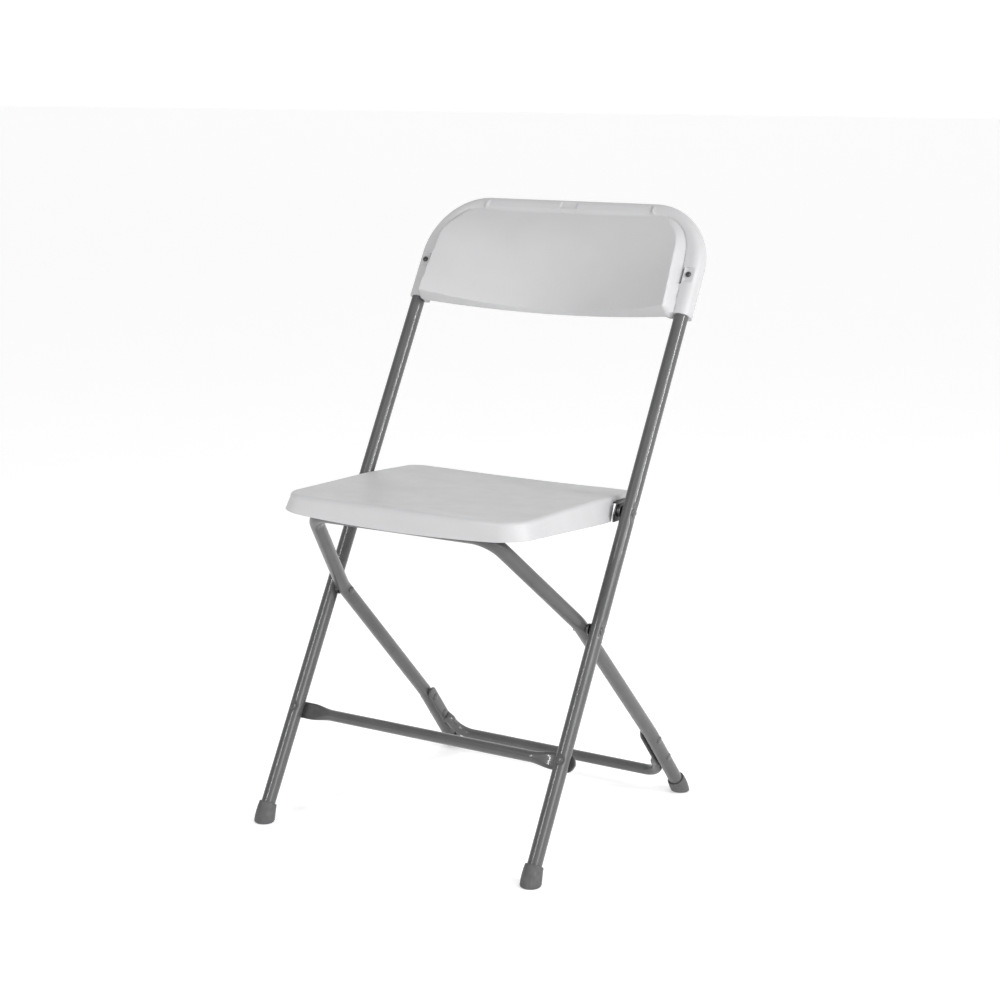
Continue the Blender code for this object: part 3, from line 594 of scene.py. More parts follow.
def build_front_rivets():
    for side, sign in SIDES:
        spot = Vector((sign * FRONT_X, CROSSBAR_L, 0))
        back = FRONT @ (spot + Z * (CROSSBAR_OUT - CROSSBAR_TAB_HALF * 0.8))
        front = FRONT @ (spot + Z * (LEG_R - RIVET_DIMPLE[0]))
        build_rivet(f"bar_rivet_{side}", back, front, "front_frame", f"crossbar_rivet_{side}")
        for what, height, inner in (
            ("scissor_rivet", SCISSOR_L, REAR_X - LEG_R),
            ("seat_pivot_rivet", SEAT_PIVOT_L, BRACKET_X),
        ):
            start = FRONT @ Vector((sign * inner, height, 0))
            end = FRONT @ Vector((sign * (FRONT_X + LEG_R - PIVOT_FLAT[0]), height, 0))
            build_rivet(f"{what}_{side}_head", start, end, "front_frame", f"{what}_{side}")


def build_spacers():
    """Turned steel spacers between the tubes, with chamfered ends."""
    outer = FRONT_X - LEG_R - GAP
    rim, bore, edge = 0.0075, 0.0033, 0.0005
    for side, sign in SIDES:
        for what, height, inner in (
            ("scissor_spacer", SCISSOR_L, REAR_X + LEG_R + GAP),
            ("seat_pivot_spacer", SEAT_PIVOT_L, BRACKET_X + BRACKET_WALL + GAP),
        ):
            length = outer - inner
            profile = [
                (bore, edge),
                (bore + edge, 0),
                (rim - edge, 0),
                (rim, edge),
                (rim, length - edge),
                (rim - edge, length),
                (bore + edge, length),
                (bore, length - edge),
                (bore, edge),
            ]
            local = along(FRONT @ Vector((sign * inner, height, 0)), sign * X)
            shape = bmesh.new()
            ring_turning(shape, profile, local)
            name = f"{what}_{side}"
            piece(f"{name}_ring", shape, "front_frame", [name], STEEL_WITH_PAINTED_SHADE, 30)


def foot_ring(centre, normal, radius, sides=56):
    forward = Y - normal * Y.dot(normal)
    forward.normalize()
    across = normal.cross(forward)
    turns = [2 * math.pi * k / sides for k in range(sides)]
    return [centre + (across * math.cos(t) + forward * math.sin(t)) * radius for t in turns]


def build_foot(name, node, base, up, bottom_radius, body):
    """A rubber cap that turns from the leg's axis to the vertical, with a rounded sole edge."""
    level = Vector((up.x, up.y, 0)).normalized()
    sole = base + level * FOOT_TURN
    middle = base + up * FOOT_STRAIGHT
    top = base + up * FOOT_LENGTH

    def section(share, inset):
        centre = sole * (1 - share) ** 2 + middle * 2 * share * (1 - share) + top * share**2
        normal = Z.lerp(up, ease(share, 0, 1)).normalized()
        bulge = 0.0004 * math.sin(math.pi * share)
        radius = bottom_radius + (FOOT_TOP_R - bottom_radius) * share + bulge - inset
        return foot_ring(centre, normal, radius)

    total = 0.024
    rings = [foot_ring(sole, Z, bottom_radius * 0.4)]
    for i in range(9):
        turn = math.pi / 2 * i / 8
        height = FOOT_SOLE_EDGE * (1 - math.cos(turn))
        inset = FOOT_SOLE_EDGE * (1 - math.sin(turn))
        rings.append(section(height / total, inset))
    first = FOOT_SOLE_EDGE / total
    rings += [section(first + (1 - first) * 0.95 * i / 14, 0) for i in range(1, 15)]
    for i in range(1, 6):
        turn = math.pi / 2 * i / 5
        share = 0.95 + 0.05 * math.sin(turn)
        rings.append(section(share, FOOT_TOP_EDGE * (1 - math.cos(turn))))
    rings.append(foot_ring(top, up, LEG_R + 0.0007))
    rings.append(foot_ring(top - up * 0.0008, up, LEG_R + 0.00025))
    rings.append(foot_ring(top - up * 0.0035, up, LEG_R + 0.00015))
    shape = bmesh.new()
    skin(shape, rings)
    piece(name, shape, body, [node], RUBBER, 45)


def build_front_feet():
    for side, sign in SIDES:
        base = FRONT @ Vector((sign * FRONT_X, 0, 0))
        build_foot(
            f"front_cap_{side}", f"front_foot_{side}", base, UP_FRONT, FRONT_FOOT_R, "front_frame"
        )


# ------------------------------------------------------------------ rear frame


def lower_leg(sign, height):
    """A point of a rear leg's centreline below the knee, in the lower leg's frame."""
    return Vector((sign * (REAR_X - REAR_SPLAY * height), height, 0))


def build_rear_tube():
    taper = REAR_TOP_L - REAR_TAPER_START
    inward = taper * math.tan(REAR_TAPER)
    forward = taper * math.tan(REAR_TOP_KICK)
    short = 0.012
    right = [
        KNEE @ lower_leg(1, short - LOWER_LENGTH),
        KNEE @ lower_leg(1, 0),
        Vector((REAR_X, REAR_TAPER_START, 0)),
        Vector((REAR_X - inward, REAR_TOP_L, forward)),
    ]
    radii = [REAR_KNEE_R, REAR_TAPER_R, REAR_TOP_BEND_R]
    path = rounded_path(right + mirrored(right), radii + radii[::-1])
    shape = bmesh.new()
    skin(shape, to_world(REAR, swept_rings(path, LEG_R, 48)))
    piece("rear_tube", shape, "rear_frame", ["rear_leg_tube"], POWDER, 60)


def build_rear_feet():
    for side, sign in SIDES:
        base = LOWER @ lower_leg(sign, -LOWER_LENGTH)
        up = (LOWER @ lower_leg(sign, 0) - base).normalized()
        build_foot(f"rear_cap_{side}", f"rear_foot_{side}", base, up, REAR_FOOT_R, "rear_frame")


def brace_path():
    """Half of the brace's centreline, from the top of its tab to the middle of its bar."""
    tab_inset = Vector((LEG_R + GAP + BRACE_TAB_HALF, 0, 0))
    bar_inset = Vector((LEG_R + GAP + BAR_R, 0, 0))
    corner = BRACE_TAB_WIDE
    round_end = [BRACE_TOP - corner * (1 - math.cos(math.radians(90 * i / 12))) for i in range(13)]
    straight = [round_end[-1] + (BRACE_FLAT_END - round_end[-1]) * i / 12 for i in range(1, 13)]
    tab = [lower_leg(1, min(height, 0)) - tab_inset for height in round_end + straight]
    for point, height in zip(tab, round_end + straight):
        point.y = height
    steps = 10
    blend = []
    for i in range(1, steps):
        share = i / steps
        height = BRACE_FLAT_END + (BRACE_ROUND_START - BRACE_FLAT_END) * share
        inset = tab_inset + (bar_inset - tab_inset) * ease(share, 0, 1)
        blend.append(lower_leg(1, height) - inset)
    start = lower_leg(1, BRACE_ROUND_START) - bar_inset
    turn = lower_leg(1, BRACE_BAR) - bar_inset
    bend = rounded_path([start, turn, Vector((0, BRACE_BAR, 0))], [BRACE_BEND_R])
    return tab + blend + bend


def build_brace():
    right = brace_path()
    rings = swept_rings(right + mirrored(right[:-1]), BAR_R, 40)
    centres = right + mirrored(right[:-1])
    shaped = []
    for centre, ring in zip(centres, rings):
        amount = ease(centre.y, BRACE_ROUND_START, BRACE_FLAT_END)
        squeeze = 1 + amount * (BRACE_TAB_HALF / BAR_R - 1)
        spread = 1 + amount * (BRACE_TAB_WIDE / BAR_R - 1)
        width = rounded_tab(BRACE_TOP - centre.y, BRACE_TAB_WIDE)
        points = []
        for point in ring:
            offset = point - centre
            offset.x *= squeeze
            offset.z *= spread * width
            points.append(LOWER @ (centre + offset))
        shaped.append(points)
    shape = bmesh.new()
    skin(shape, shaped)
    piece("brace_bar", shape, "rear_frame", ["rear_brace"], POWDER, 50)


def build_brace_rivets():
    for side, sign in SIDES:
        for what, height in BRACE_RIVETS:
            spot = lower_leg(sign, height)
            lean = RIVET_HEAD_R * REAR_SPLAY
            inset = LEG_R + GAP + 2 * BRACE_TAB_HALF + lean
            start = LOWER @ (spot - X * sign * inset)
            end = LOWER @ (spot + X * sign * (LEG_R + lean - 0.0008))
            node = f"brace_rivet_{side}_{what}"
            build_rivet(f"{node}_head", start, end, "rear_frame", node)


# ------------------------------------------------------------------------ seat


def quarter(centre_x, centre_y, radius, start, steps):
    """Points on a quarter circle that turns to the left from a start angle in degrees."""
    turns = [math.radians(start + 90 * i / steps) for i in range(steps + 1)]
    return [(centre_x + radius * math.cos(t), centre_y + radius * math.sin(t)) for t in turns]


def seat_outline():
    """The seat's outline, all the way round from the middle of its front edge."""
    front_x = SEAT_HALF_WIDTH - SEAT_FRONT_CORNER
    front_y = SEAT_FRONT + SEAT_FRONT_BOW + SEAT_FRONT_CORNER
    rear_x = SEAT_HALF_WIDTH - SEAT_REAR_CORNER
    rear_y = SEAT_REAR - SEAT_REAR_CORNER
    steps = 22
    shares = [i / steps for i in range(steps)]
    half = [(front_x * s, SEAT_FRONT + SEAT_FRONT_BOW * s * s) for s in shares]
    half += quarter(front_x, front_y, SEAT_FRONT_CORNER, -90, steps)
    half += [(SEAT_HALF_WIDTH, front_y + (rear_y - front_y) * s) for s in shares[1:]]
    half += quarter(rear_x, rear_y, SEAT_REAR_CORNER, 0, steps)
    half += [(rear_x * (1 - s), SEAT_REAR) for s in shares[1:]] + [(0, SEAT_REAR)]
    return half + [(-x, y) for x, y in reversed(half[1:-1])]


def seat_top(x, y):
    """Height of the seat's top above its pivot: dished across and along, falling to the rear."""
    half = (SEAT_REAR - SEAT_FRONT) / 2
    across = 1 - min(abs(x) / (SEAT_HALF_WIDTH - SEAT_EDGE_R), 1) ** SEAT_DISH_POWER
    lengthways = 1 - min(abs(y - SEAT_MIDDLE) / (half - SEAT_EDGE_R), 1) ** SEAT_DISH_POWER
    if y > SEAT_MIDDLE:
        lengthways = SEAT_REAR_DISH + (1 - SEAT_REAR_DISH) * lengthways
    fall = ramp(y, SEAT_FALL_START, SEAT_REAR) ** SEAT_FALL_POWER
    return SEAT_TOP - SEAT_DISH * across * lengthways - SEAT_REAR_DROP * fall


def seat_lip(x, y):
    """Height of the skirt's lower edge: it arches down at the front, and is shallow at the rear."""
    across = (x / SEAT_HALF_WIDTH) ** 2
    front = SEAT_LIP_FRONT + (SEAT_LIP_CORNER - SEAT_LIP_FRONT) * across
    back = ramp(y - SEAT_FRONT - SEAT_LIP_SIDE_START, 0, SEAT_LIP_SIDE_LENGTH)
    side = SEAT_LIP_CORNER + (SEAT_LIP_SIDE - SEAT_LIP_CORNER) * back
    edge = ramp(abs(x), SEAT_HALF_WIDTH - SEAT_FRONT_CORNER, SEAT_HALF_WIDTH)
    deep = front + (side - front) * edge
    behind = ramp(y - SEAT_REAR_SKIRT_START, 0, SEAT_REAR_SKIRT_BLEND)
    return deep + (seat_top(x, y) - SEAT_REAR_SKIRT - deep) * behind


def offset_outline(outline, insets):
    """The outline moved inwards along its own normals, by a distance for each point."""
    moved = []
    count = len(outline)
    for i, ((x, y), inset) in enumerate(zip(outline, insets)):
        ax, ay = outline[(i - 1) % count]
        bx, by = outline[(i + 1) % count]
        length = math.hypot(bx - ax, by - ay)
        moved.append((x - (by - ay) / length * inset, y + (bx - ax) / length * inset))
    return moved


def seat_rings(outline):
    """Rings over the top, round the edge, down the skirt, and back along the inside."""
    flares = [SEAT_FLARE * ease(abs(x), SEAT_FLARE_FROM, SEAT_HALF_WIDTH) for x, _ in outline]

    def inset(flare_share, more=0.0):
        return offset_outline(outline, [flare * flare_share + more for flare in flares])

    inner_edge = inset(1, SEAT_EDGE_R)
    shares = [0.04 + 0.96 * (i / 26) ** 0.8 for i in range(27)]
    rings = []
    for share in shares:
        ring = [(x * share, SEAT_MIDDLE + (y - SEAT_MIDDLE) * share) for x, y in inner_edge]
        rings.append([Vector((x, y, seat_top(x, y))) for x, y in ring])
    for i in range(1, 9):
        turn = math.pi / 2 * i / 8
        ring = inset(1, SEAT_EDGE_R * (1 - math.sin(turn)))
        drop = SEAT_EDGE_R * (1 - math.cos(turn))
        rings.append(
            [Vector((x, y, seat_top(*e) - drop)) for (x, y), e in zip(ring, inner_edge)]
        )
    lips = [seat_lip(x, y) for x, y in outline]
    edge = 0.0010
    shoulder = rings[-1]
    for i in range(1, 7):
        share = i / 6
        ring = inset(1 - share)
        rings.append(
            [
                Vector((x, y, p.z + (lip + edge - p.z) * share))
                for (x, y), p, lip in zip(ring, shoulder, lips)
            ]
        )
    for i in range(1, 7):
        turn = math.pi * i / 6
        ring = inset(0, SEAT_WALL / 2 * (1 - math.cos(turn)))
        rings.append(
            [Vector((x, y, lip + edge * (1 - math.sin(turn)))) for (x, y), lip in zip(ring, lips)]
        )
    inside = [inset(share, SEAT_WALL) for share in (0.35, 0.7, 1.0)]
    ceiling = [seat_top(*e) - SEAT_WALL - 0.002 for e in inner_edge]
    for share, ring in zip((0.35, 0.7, 1.0), inside):
        rings.append(
            [
                Vector((x, y, lip + edge + (top - lip - edge) * share))
                for (x, y), lip, top in zip(ring, lips, ceiling)
            ]
        )
    corner = inset(1, SEAT_WALL + 0.003)
    rings.append([Vector((x, y, seat_top(x, y) - SEAT_WALL)) for x, y in corner])
    for share in [0.96 - 0.92 * i / 12 for i in range(13)]:
        ring = [(x * share, SEAT_MIDDLE + (y - SEAT_MIDDLE) * share) for x, y in corner]
        rings.append([Vector((x, y, seat_top(x, y) - SEAT_WALL)) for x, y in ring])
    return rings


def rib(shape, x, front, rear):
    """A moulded rib under the seat, running front to back, with its root inside the shell."""
    steps = 24
    rings = []
    for i in range(steps + 1):
        y = front + (rear - front) * i / steps
        root = seat_top(x, y) - SEAT_WALL * 0.6
        tip = seat_top(x, y) - SEAT_WALL - RIB_DEPTH * math.sin(math.pi * (0.08 + 0.84 * i / steps)) ** 0.3
        corners = ((-RIB_HALF, root), (RIB_HALF, root), (RIB_HALF * 0.7, tip), (-RIB_HALF * 0.7, tip))
        rings.append([SEAT_PIVOT + Vector((x + dx, y, z)) for dx, z in corners])
    skin(shape, rings)


def apply_booleans(obj, cutters):
    """Cuts or joins each mesh in turn, and applies the results."""
    for cutter, operation in cutters:
        step = obj.modifiers.new(operation.lower(), "BOOLEAN")
        step.operation = operation
        step.object = cutter
        step.solver = "EXACT"
    bpy.context.view_layer.update()
    graph = bpy.context.evaluated_depsgraph_get()
    mesh = bpy.data.meshes.new_from_object(obj.evaluated_get(graph))
    obj.modifiers.clear()
    obj.data = mesh
    for cutter, _ in cutters:
        bpy.data.objects.remove(cutter)


def helper(name, shape):
    bmesh.ops.recalc_face_normals(shape, faces=shape.faces)
    mesh = bpy.data.meshes.new(name)
    shape.to_mesh(mesh)
    shape.free()
    obj = bpy.data.objects.new(name, mesh)
    bpy.context.scene.collection.objects.link(obj)
    return obj


def cutout_box(sign):
    """The space that the front tube passes through, leaning as the tube does."""
    shape = bmesh.new()
    bmesh.ops.create_cube(shape, size=2)
    bmesh.ops.scale(shape, vec=CUTOUT_HALF, verts=shape.verts)
    edges = [e for e in shape.edges if abs(e.verts[0].co.x - e.verts[1].co.x) > CUTOUT_HALF.x]
    bmesh.ops.bevel(
        shape, geom=edges, offset=0.003, segments=5, profile=0.5, affect="EDGES", clamp_overlap=True
    )
    centre = Vector((sign * CUTOUT_CENTRE.x, CUTOUT_CENTRE.y, CUTOUT_CENTRE.z))
    for vertex in shape.verts:
        in_front = vertex.co.y < 0
        vertex.co += centre
        vertex.co.y += math.tan(LEAN) * vertex.co.z
        if in_front:
            vertex.co.y += CUTOUT_SLANT * (vertex.co.z - SEAT_LIP_SIDE)
        vertex.co += SEAT_PIVOT
    return helper("cutout", shape)


def build_seat():
    shape = bmesh.new()
    rings = seat_rings(seat_outline())
    skin(shape, [[SEAT_PIVOT + p for p in ring] for ring in rings])
    obj = piece("seat_moulding", shape, "seat", ["seat_shell"], PLASTIC, 32)
    ribs = []
    for x in (-0.125, -0.05, 0.0, 0.05, 0.125):
        made = bmesh.new()
        rib(made, x, -0.165, 0.07)
        ribs.append((helper("rib", made), "UNION"))
    apply_booleans(obj, ribs + [(cutout_box(sign), "DIFFERENCE") for _, sign in SIDES])
    obj.data.shade_smooth()
    obj.data.set_sharp_from_angle(angle=math.radians(32))


def bevelled_copy(node, name, width, segments, body, surface, cut_at=None):
    """A piece made from a CAD node's own solid, with its sharp edges rounded over."""
    mesh = frame["nodes"][node].data.copy()
    shape = bmesh.new()
    shape.from_mesh(mesh)
    bmesh.ops.remove_doubles(shape, verts=shape.verts, dist=1e-6)
    bmesh.ops.dissolve_limit(
        shape, angle_limit=math.radians(2), verts=shape.verts, edges=shape.edges
    )
    if cut_at:
        # The plate's top corner follows the slanted end of the seat's skirt.
        everything = list(shape.verts) + list(shape.edges) + list(shape.faces)
        bmesh.ops.bisect_plane(
            shape, geom=everything, plane_co=cut_at, plane_no=BRACKET_CORNER, clear_outer=True
        )
        bmesh.ops.holes_fill(shape, edges=[e for e in shape.edges if e.is_boundary])
    sharp = [e for e in shape.edges if len(e.link_faces) == 2 and e.calc_face_angle() > math.radians(50)]
    bmesh.ops.bevel(
        shape, geom=sharp, offset=width, segments=segments, profile=0.5, affect="EDGES",
        clamp_overlap=True,
    )
    piece(name, shape, body, [node], surface, 40)


def build_seat_hardware():
    for side, _ in SIDES:
        bevelled_copy(
            f"seat_pivot_bracket_{side}",
            f"pivot_plate_{side}",
            0.0004,
            2,
            "seat",
            STEEL_WITH_PAINTED_SHADE,
            SEAT_PIVOT + BRACKET_CORNER * BRACKET_CORNER_REACH,
        )
        bevelled_copy(f"bar_saddle_{side}", f"saddle_{side}", 0.0005, 2, "seat", PLASTIC)


def build_screw(name, node, start, direction, reach, body):
    """A pan-head screw with a cross recess, and a shank that runs along direction."""
    top = 0.0024
    head = [(1e-5, -0.0013), (0.0009, -top + 0.0002), (0.0016, -top), (0.0026, -0.0021)]
    head += [(0.0034, -0.0015), (0.0038, -0.0008), (0.0038, 0)]
    profile = head + [(SCREW_R, 0), (SCREW_R, reach * 0.85), (0.0006, reach), (1e-5, reach)]
    local = along(start, direction)
    turns = [2 * math.pi * k / 48 for k in range(48)]
    rings = []
    for r, h in profile:
        ring = []
        for t in turns:
            # The recess is a cross: its rim reaches out along four arms.
            arm = max(abs(math.cos(2 * t)), 0.0) ** 6
            sunk = 0.0009 * arm if 0.0005 < r < 0.002 and h < -0.001 else 0
            ring.append(local @ Vector((r * math.cos(t), r * math.sin(t), h + sunk)))
        rings.append(ring)
    shape = bmesh.new()
    skin(shape, rings)
    piece(name, shape, body, [node], STEEL_WITH_PAINTED_SHADE, 30)


def build_screws():
    for side, sign in SIDES:
        for i, y in enumerate(BRACKET_SCREWS_Y):
            top = BRACKET_TOP - BRACKET_WALL - GAP
            start = SEAT_PIVOT + Vector((sign * BRACKET_SCREW_X, y, top))
            node = f"bracket_screw_{side}_{i + 1}"
            build_screw(f"{node}_head", node, start, Z, 0.004, "seat")
        start = FRONT @ Vector((sign * FRONT_X, BACK_SCREW_L, BACK_SCREW_SEAT + GAP))
        node = f"backrest_screw_{side}"
        build_screw(f"{node}_head", node, start, -FRONT.to_3x3().col[2], 0.006, "front_frame")


# -------------------------------------------------------------------- backrest

BACK_HALF = FRONT_X + SLEEVE_R
BACK_TOP = FRAME_TOP_L + SLEEVE_R
BACK_CORNER = FRAME_BEND_R + SLEEVE_R
PANEL_HALF_TOP = 0.1968
PANEL_HALF_BOTTOM = 0.2034
PANEL_HALF_FROM = 0.855
PANEL_TOP = BACK_TOP - 0.0195
PANEL_CORNER = 0.054
BEVEL = 0.0088
BEVEL_TOP = 0.0016
GROOVE_HALF = 0.0009
GROOVE_DEPTH = 0.0012
RIM_OUT = 0.0118
RIM_POWER = 2.3
PANEL_EDGE_TOP = 0.0117
PANEL_EDGE_RISE = 0.0145
PANEL_EDGE_RISE_TO = 0.835
PANEL_EDGE_BOTTOM = 0.0020
SAG_TOP = 0.0028
SAG_BOTTOM = 0.0362
FOLD_L = 0.7615
FOLD_SIDE_RISE = 0.0045
LIP_W = -0.0105
LIP_BOW = 0.021
BACK_THICKNESS = 0.0048
REAR_WALL_INSET = 0.0062
RIDGE_X = 0.133
RIDGE_HALF = 0.0018
RIDGE_OUT = 0.0017
MARK_HALF = Vector((0.0125, 0.0042, 0))
MARK_DEPTH = 0.0014
RECESS_X = FRONT_X + 0.0015
RECESS_HALF = Vector((0.0068, 0.0095, 0))
RECESS_FLOOR = BACK_SCREW_SEAT - 0.0004
SLOT_X = 0.2012
SLOT_HALF = Vector((0.0010, 0.0110, 0))
SLOT_DEPTH = 0.006


def arch_depth(x, height, half, top, corner):
    """How far a point lies inside an arch with straight sides and rounded top corners."""
    x = abs(x)
    dx = x - (half - corner)
    dy = height - (top - corner)
    if dx > 0 and dy > 0:
        return corner - math.hypot(dx, dy)
    return min(half - x, top - height)


def rim_height(depth):
    """The rim's face at a distance inside the outer edge: a rounded shoulder, then level."""
    across = min(depth / SLEEVE_R, 1)
    return RIM_OUT * (1 - (1 - across) ** RIM_POWER) ** (1 / RIM_POWER)


def fold_height(x):
    """Where the face turns under into the lower lip: a little higher at the sides."""
    return FOLD_L + FOLD_SIDE_RISE * min(abs(x) / FRONT_X, 1) ** 2


def panel_height(x, height):
    """The panel's face: nearly flat at the top, deeply bowed at the bottom, then turned under."""
    across = min((x / 0.193) ** 2, 1.2)
    fold = fold_height(x)
    level = max(height, fold)
    down = ramp(level, PANEL_TOP, FOLD_L)
    risen = 1 - (1 - ramp(level, PANEL_TOP, PANEL_EDGE_RISE_TO)) ** 2
    edge = PANEL_EDGE_TOP + PANEL_EDGE_RISE * risen
    face = edge + PANEL_EDGE_BOTTOM * down - (SAG_TOP + (SAG_BOTTOM - SAG_TOP) * down) * (1 - across)
    under = ramp(height, fold, BACK_BOTTOM_L)
    return face + (LIP_W + LIP_BOW * across - face) * under


def panel_depth(x, height):
    """How far a point lies inside the panel's own outline, which widens towards the bottom."""
    half = PANEL_HALF_BOTTOM + (PANEL_HALF_TOP - PANEL_HALF_BOTTOM) * ramp(
        height, FOLD_L, PANEL_HALF_FROM
    )
    half -= 0.003 * (1 - ramp(height, BACK_BOTTOM_L, BACK_BOTTOM_L + 0.011))
    return arch_depth(x, height, half, PANEL_TOP, PANEL_CORNER)


def box_share(x, y, centre_x, centre_y, half, soft):
    """1 inside a rectangle, falling to 0 over a soft margin outside it."""
    return (1 - ease(abs(x - centre_x), half.x, half.x + soft)) * (
        1 - ease(abs(y - centre_y), half.y, half.y + soft)
    )


def back_front(x, height):
    """The backrest's front face."""
    rim = rim_height(arch_depth(x, height, BACK_HALF, BACK_TOP, BACK_CORNER))
    above = height - PANEL_TOP
    for sign in (-1, 1):
        ridge = 1 - ease(abs(x - sign * RIDGE_X), RIDGE_HALF, RIDGE_HALF + 0.0008)
        rim += RIDGE_OUT * ridge * ease(above, 0.0005, 0.002) * (1 - ease(above, 0.011, 0.015))
    rim -= MARK_DEPTH * box_share(x, height, 0, BACK_TOP - 0.0102, MARK_HALF, 0.0006)
    recess = box_share(abs(x), height, RECESS_X, BACK_SCREW_L, RECESS_HALF, 0.0005)
    rim += (RECESS_FLOOR - rim) * recess * ease(rim, 0.006, 0.0105)
    inside = panel_depth(x, height)
    # The top edge meets the rim with a crisp step, and the sides rise over a sloping band.
    near_top = ease(height, PANEL_TOP - 0.018, PANEL_TOP - 0.001)
    bevel = BEVEL + (BEVEL_TOP - BEVEL) * near_top
    share = ease(inside, 0, bevel) * 0.35 + ramp(inside, 0, bevel) * 0.65
    face = rim + (panel_height(x, height) - rim) * share
    groove = math.exp(-((inside / GROOVE_HALF) ** 2))
    face -= GROOVE_DEPTH * groove * ease(height, BACK_BOTTOM_L, BACK_BOTTOM_L + 0.004)
    slot = box_share(abs(x), height, SLOT_X, BACK_SCREW_L - 0.002, SLOT_HALF, 0.0004)
    return face - SLOT_DEPTH * slot


def back_rear(x, height):
    """The backrest's rear face: a rounded rim and a panel of even thickness."""
    depth = arch_depth(x, height, BACK_HALF, BACK_TOP, BACK_CORNER)
    reach = SLEEVE_R + SLEEVE_BACK
    across = min(depth / SLEEVE_R, 1)
    rim = -reach * (1 - (1 - across) ** 2.6) ** (1 / 2.6)
    inside = panel_depth(x, height) - REAR_WALL_INSET * ramp(height, SLEEVE_L, SLEEVE_L + 0.012)
    panel = panel_height(x, height) - BACK_THICKNESS * ramp(height, BACK_BOTTOM_L - 0.002, FOLD_L + 0.006)
    panel = max(panel, -reach + 0.0004)
    return rim + (panel - rim) * ease(inside, -0.0005, 0.008)


def spaced(half, edge, fine, count):
    """Places from 0 out to half, closely and evenly spaced in the round edge."""
    inner = half - edge
    places = [inner * i / count for i in range(count + 1)]
    turns = [math.pi / 2 * i / fine for i in range(1, fine + 1)]
    return places + [inner + edge * math.sin(t) for t in turns]


def sleeve_bottom(x):
    """The lower edge: the sleeves end a little higher than the panel's lip, on a soft curve."""
    return BACK_BOTTOM_L + (SLEEVE_L - BACK_BOTTOM_L) * ease(abs(x), BACK_HALF - 0.028, BACK_HALF - 0.020)


def build_backrest():
    low_count, arc_count, columns = 78, 40, 150
    corner_start = BACK_TOP - BACK_CORNER
    shape = bmesh.new()
    front, rear = [], []
    heights = [i / low_count for i in range(low_count)]
    turns = [math.pi / 2 * i / arc_count for i in range(arc_count + 1)]
    levels = [(share, None) for share in heights]
    levels += [(None, corner_start + BACK_CORNER * math.sin(t)) for t in turns]
    for share, level in levels:
        over = 0 if level is None else level - corner_start
        half = BACK_HALF - BACK_CORNER + math.sqrt(max(BACK_CORNER**2 - over**2, 0))
        right = spaced(1.0, SLEEVE_R / half, 14, columns)
        places = [-half * u for u in reversed(right[1:])] + [half * u for u in right]
        front_row, rear_row = [], []
        for i, x in enumerate(places):
            bottom = sleeve_bottom(x)
            height = bottom + (corner_start - bottom) * share if level is None else level
            on_edge = i in (0, len(places) - 1) or (level is not None and level >= BACK_TOP - 1e-7)
            if on_edge:
                vertex = shape.verts.new(FRONT @ Vector((x, height, 0)))
                front_row.append(vertex)
                rear_row.append(vertex)
            else:
                front_row.append(shape.verts.new(FRONT @ Vector((x, height, back_front(x, height)))))
                rear_row.append(shape.verts.new(FRONT @ Vector((x, height, back_rear(x, height)))))
        front.append(front_row)
        rear.append(rear_row)
    for grid in (front, rear):
        for lower, upper in zip(grid, grid[1:]):
            for i in range(len(lower) - 1):
                corners = (lower[i], lower[i + 1], upper[i + 1], upper[i])
                shape.faces.new(tuple(dict.fromkeys(corners)))
    for i in range(len(front[0]) - 1):
        corners = (front[0][i], front[0][i + 1], rear[0][i + 1], rear[0][i])
        shape.faces.new(tuple(dict.fromkeys(corners)))
    piece("backrest_moulding", shape, "front_frame", ["backrest"], PLASTIC, 40)


# ---------------------------------------------------------------------- studio

CAMERA_AT = Vector((1.5236, -2.3078, 0.9689))
CAMERA_AZIMUTH = math.radians(33.03)
CAMERA_ELEVATION = math.radians(11.109)
CAMERA_ROLL = math.radians(0.267)
CAMERA_LENS = 76.49


def build_camera():
    data = bpy.data.cameras.new("camera")
    data.lens = CAMERA_LENS
    data.sensor_width = 36
    camera = bpy.data.objects.new("camera", data)
    a, e = CAMERA_AZIMUTH, CAMERA_ELEVATION
    right = Vector((math.cos(a), math.sin(a), 0))
    ahead = Vector((-math.sin(a) * math.cos(e), math.cos(a) * math.cos(e), -math.sin(e)))
    turn = Matrix.Rotation(CAMERA_ROLL, 3, -ahead)
    right = turn @ right
    up = right.cross(ahead)
    camera.matrix_world = (
        Matrix.Translation(CAMERA_AT) @ Matrix((right, up, -ahead)).transposed().to_4x4()
    )
    bpy.context.scene.collection.objects.link(camera)
    bpy.context.scene.camera = camera


def build_light(name, at, towards, width, height, watts):
    data = bpy.data.lights.new(name, "AREA")
    data.shape = "RECTANGLE"
    data.size = width
    data.size_y = height
    data.energy = watts
    light = bpy.data.objects.new(name, data)
    light.matrix_world = along(at, at - towards)
    bpy.context.scene.collection.objects.link(light)


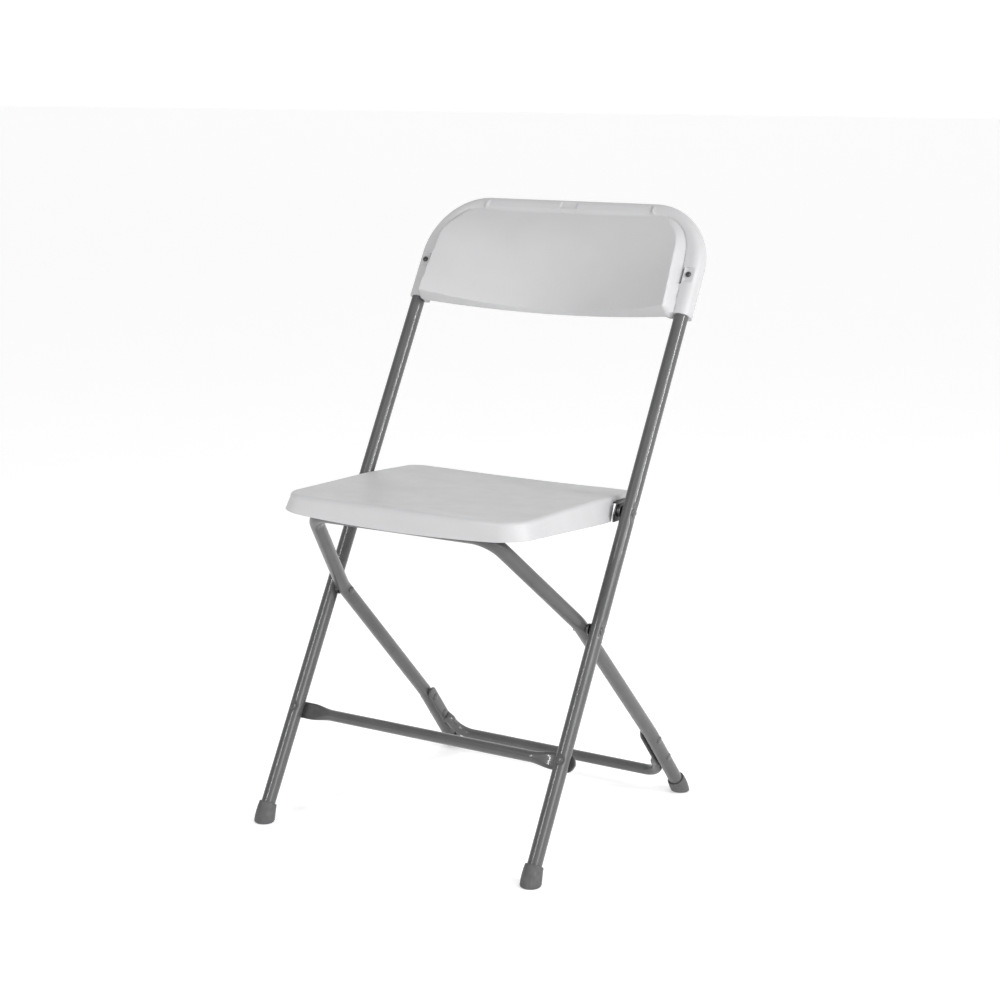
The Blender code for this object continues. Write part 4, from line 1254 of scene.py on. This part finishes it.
def build_world():
    """A soft white room, dimmer overhead and darkened on one side to shape the tubes."""
    world = bpy.data.worlds.new("studio")
    world.use_nodes = True
    tree = world.node_tree
    place = tree.nodes.new("ShaderNodeTexCoord")
    strength = None
    for direction, to_max in (((0, 0, 1), 0.6), ((-0.80, -0.60, 0), 0.35)):
        dot = tree.nodes.new("ShaderNodeVectorMath")
        dot.operation = "DOT_PRODUCT"
        dot.inputs[1].default_value = direction
        fade = tree.nodes.new("ShaderNodeMapRange")
        for name, number in (
            ("From Min", 0.15),
            ("From Max", 0.95),
            ("To Min", 1.06),
            ("To Max", to_max),
        ):
            fade.inputs[name].default_value = number
        tree.links.new(place.outputs["Generated"], dot.inputs[0])
        tree.links.new(dot.outputs["Value"], fade.inputs["Value"])
        if strength is None:
            strength = fade.outputs["Result"]
        else:
            both = tree.nodes.new("ShaderNodeMath")
            both.operation = "MULTIPLY"
            tree.links.new(strength, both.inputs[0])
            tree.links.new(fade.outputs["Result"], both.inputs[1])
            strength = both.outputs["Value"]
    tree.links.new(strength, tree.nodes["Background"].inputs["Strength"])
    tree.nodes["Background"].inputs["Color"].default_value = (1, 1, 1, 1)
    bpy.context.scene.world = world


def build_floor():
    shape = bmesh.new()
    bmesh.ops.create_grid(shape, x_segments=8, y_segments=8, size=60)
    floor = helper("floor", shape)
    floor.location.z = CAD_BOX[0][2] - 0.0002
    floor.data.materials.append(floor_surface())


def build_studio():
    build_camera()
    build_world()
    build_floor()
    middle = Vector((0, 0, 0.45))
    build_light("right_softbox", Vector((2.06, 0.0, 1.28)), middle, 0.13, 0.8, 17)
    build_light("front_softbox", Vector((-0.42, -1.75, 1.38)), middle, 0.13, 0.9, 12)
    build_light("key_softbox", Vector((2.9, -1.3, 1.5)), middle, 1.4, 1.4, 30)
    bpy.context.scene.view_settings.view_transform = "Standard"


build_front_tube()
build_crossbar()
build_front_rivets()
build_spacers()
build_front_feet()
build_rear_tube()
build_rear_feet()
build_brace()
build_brace_rivets()
build_seat()
build_seat_hardware()
build_screws()
build_backrest()
build_studio()
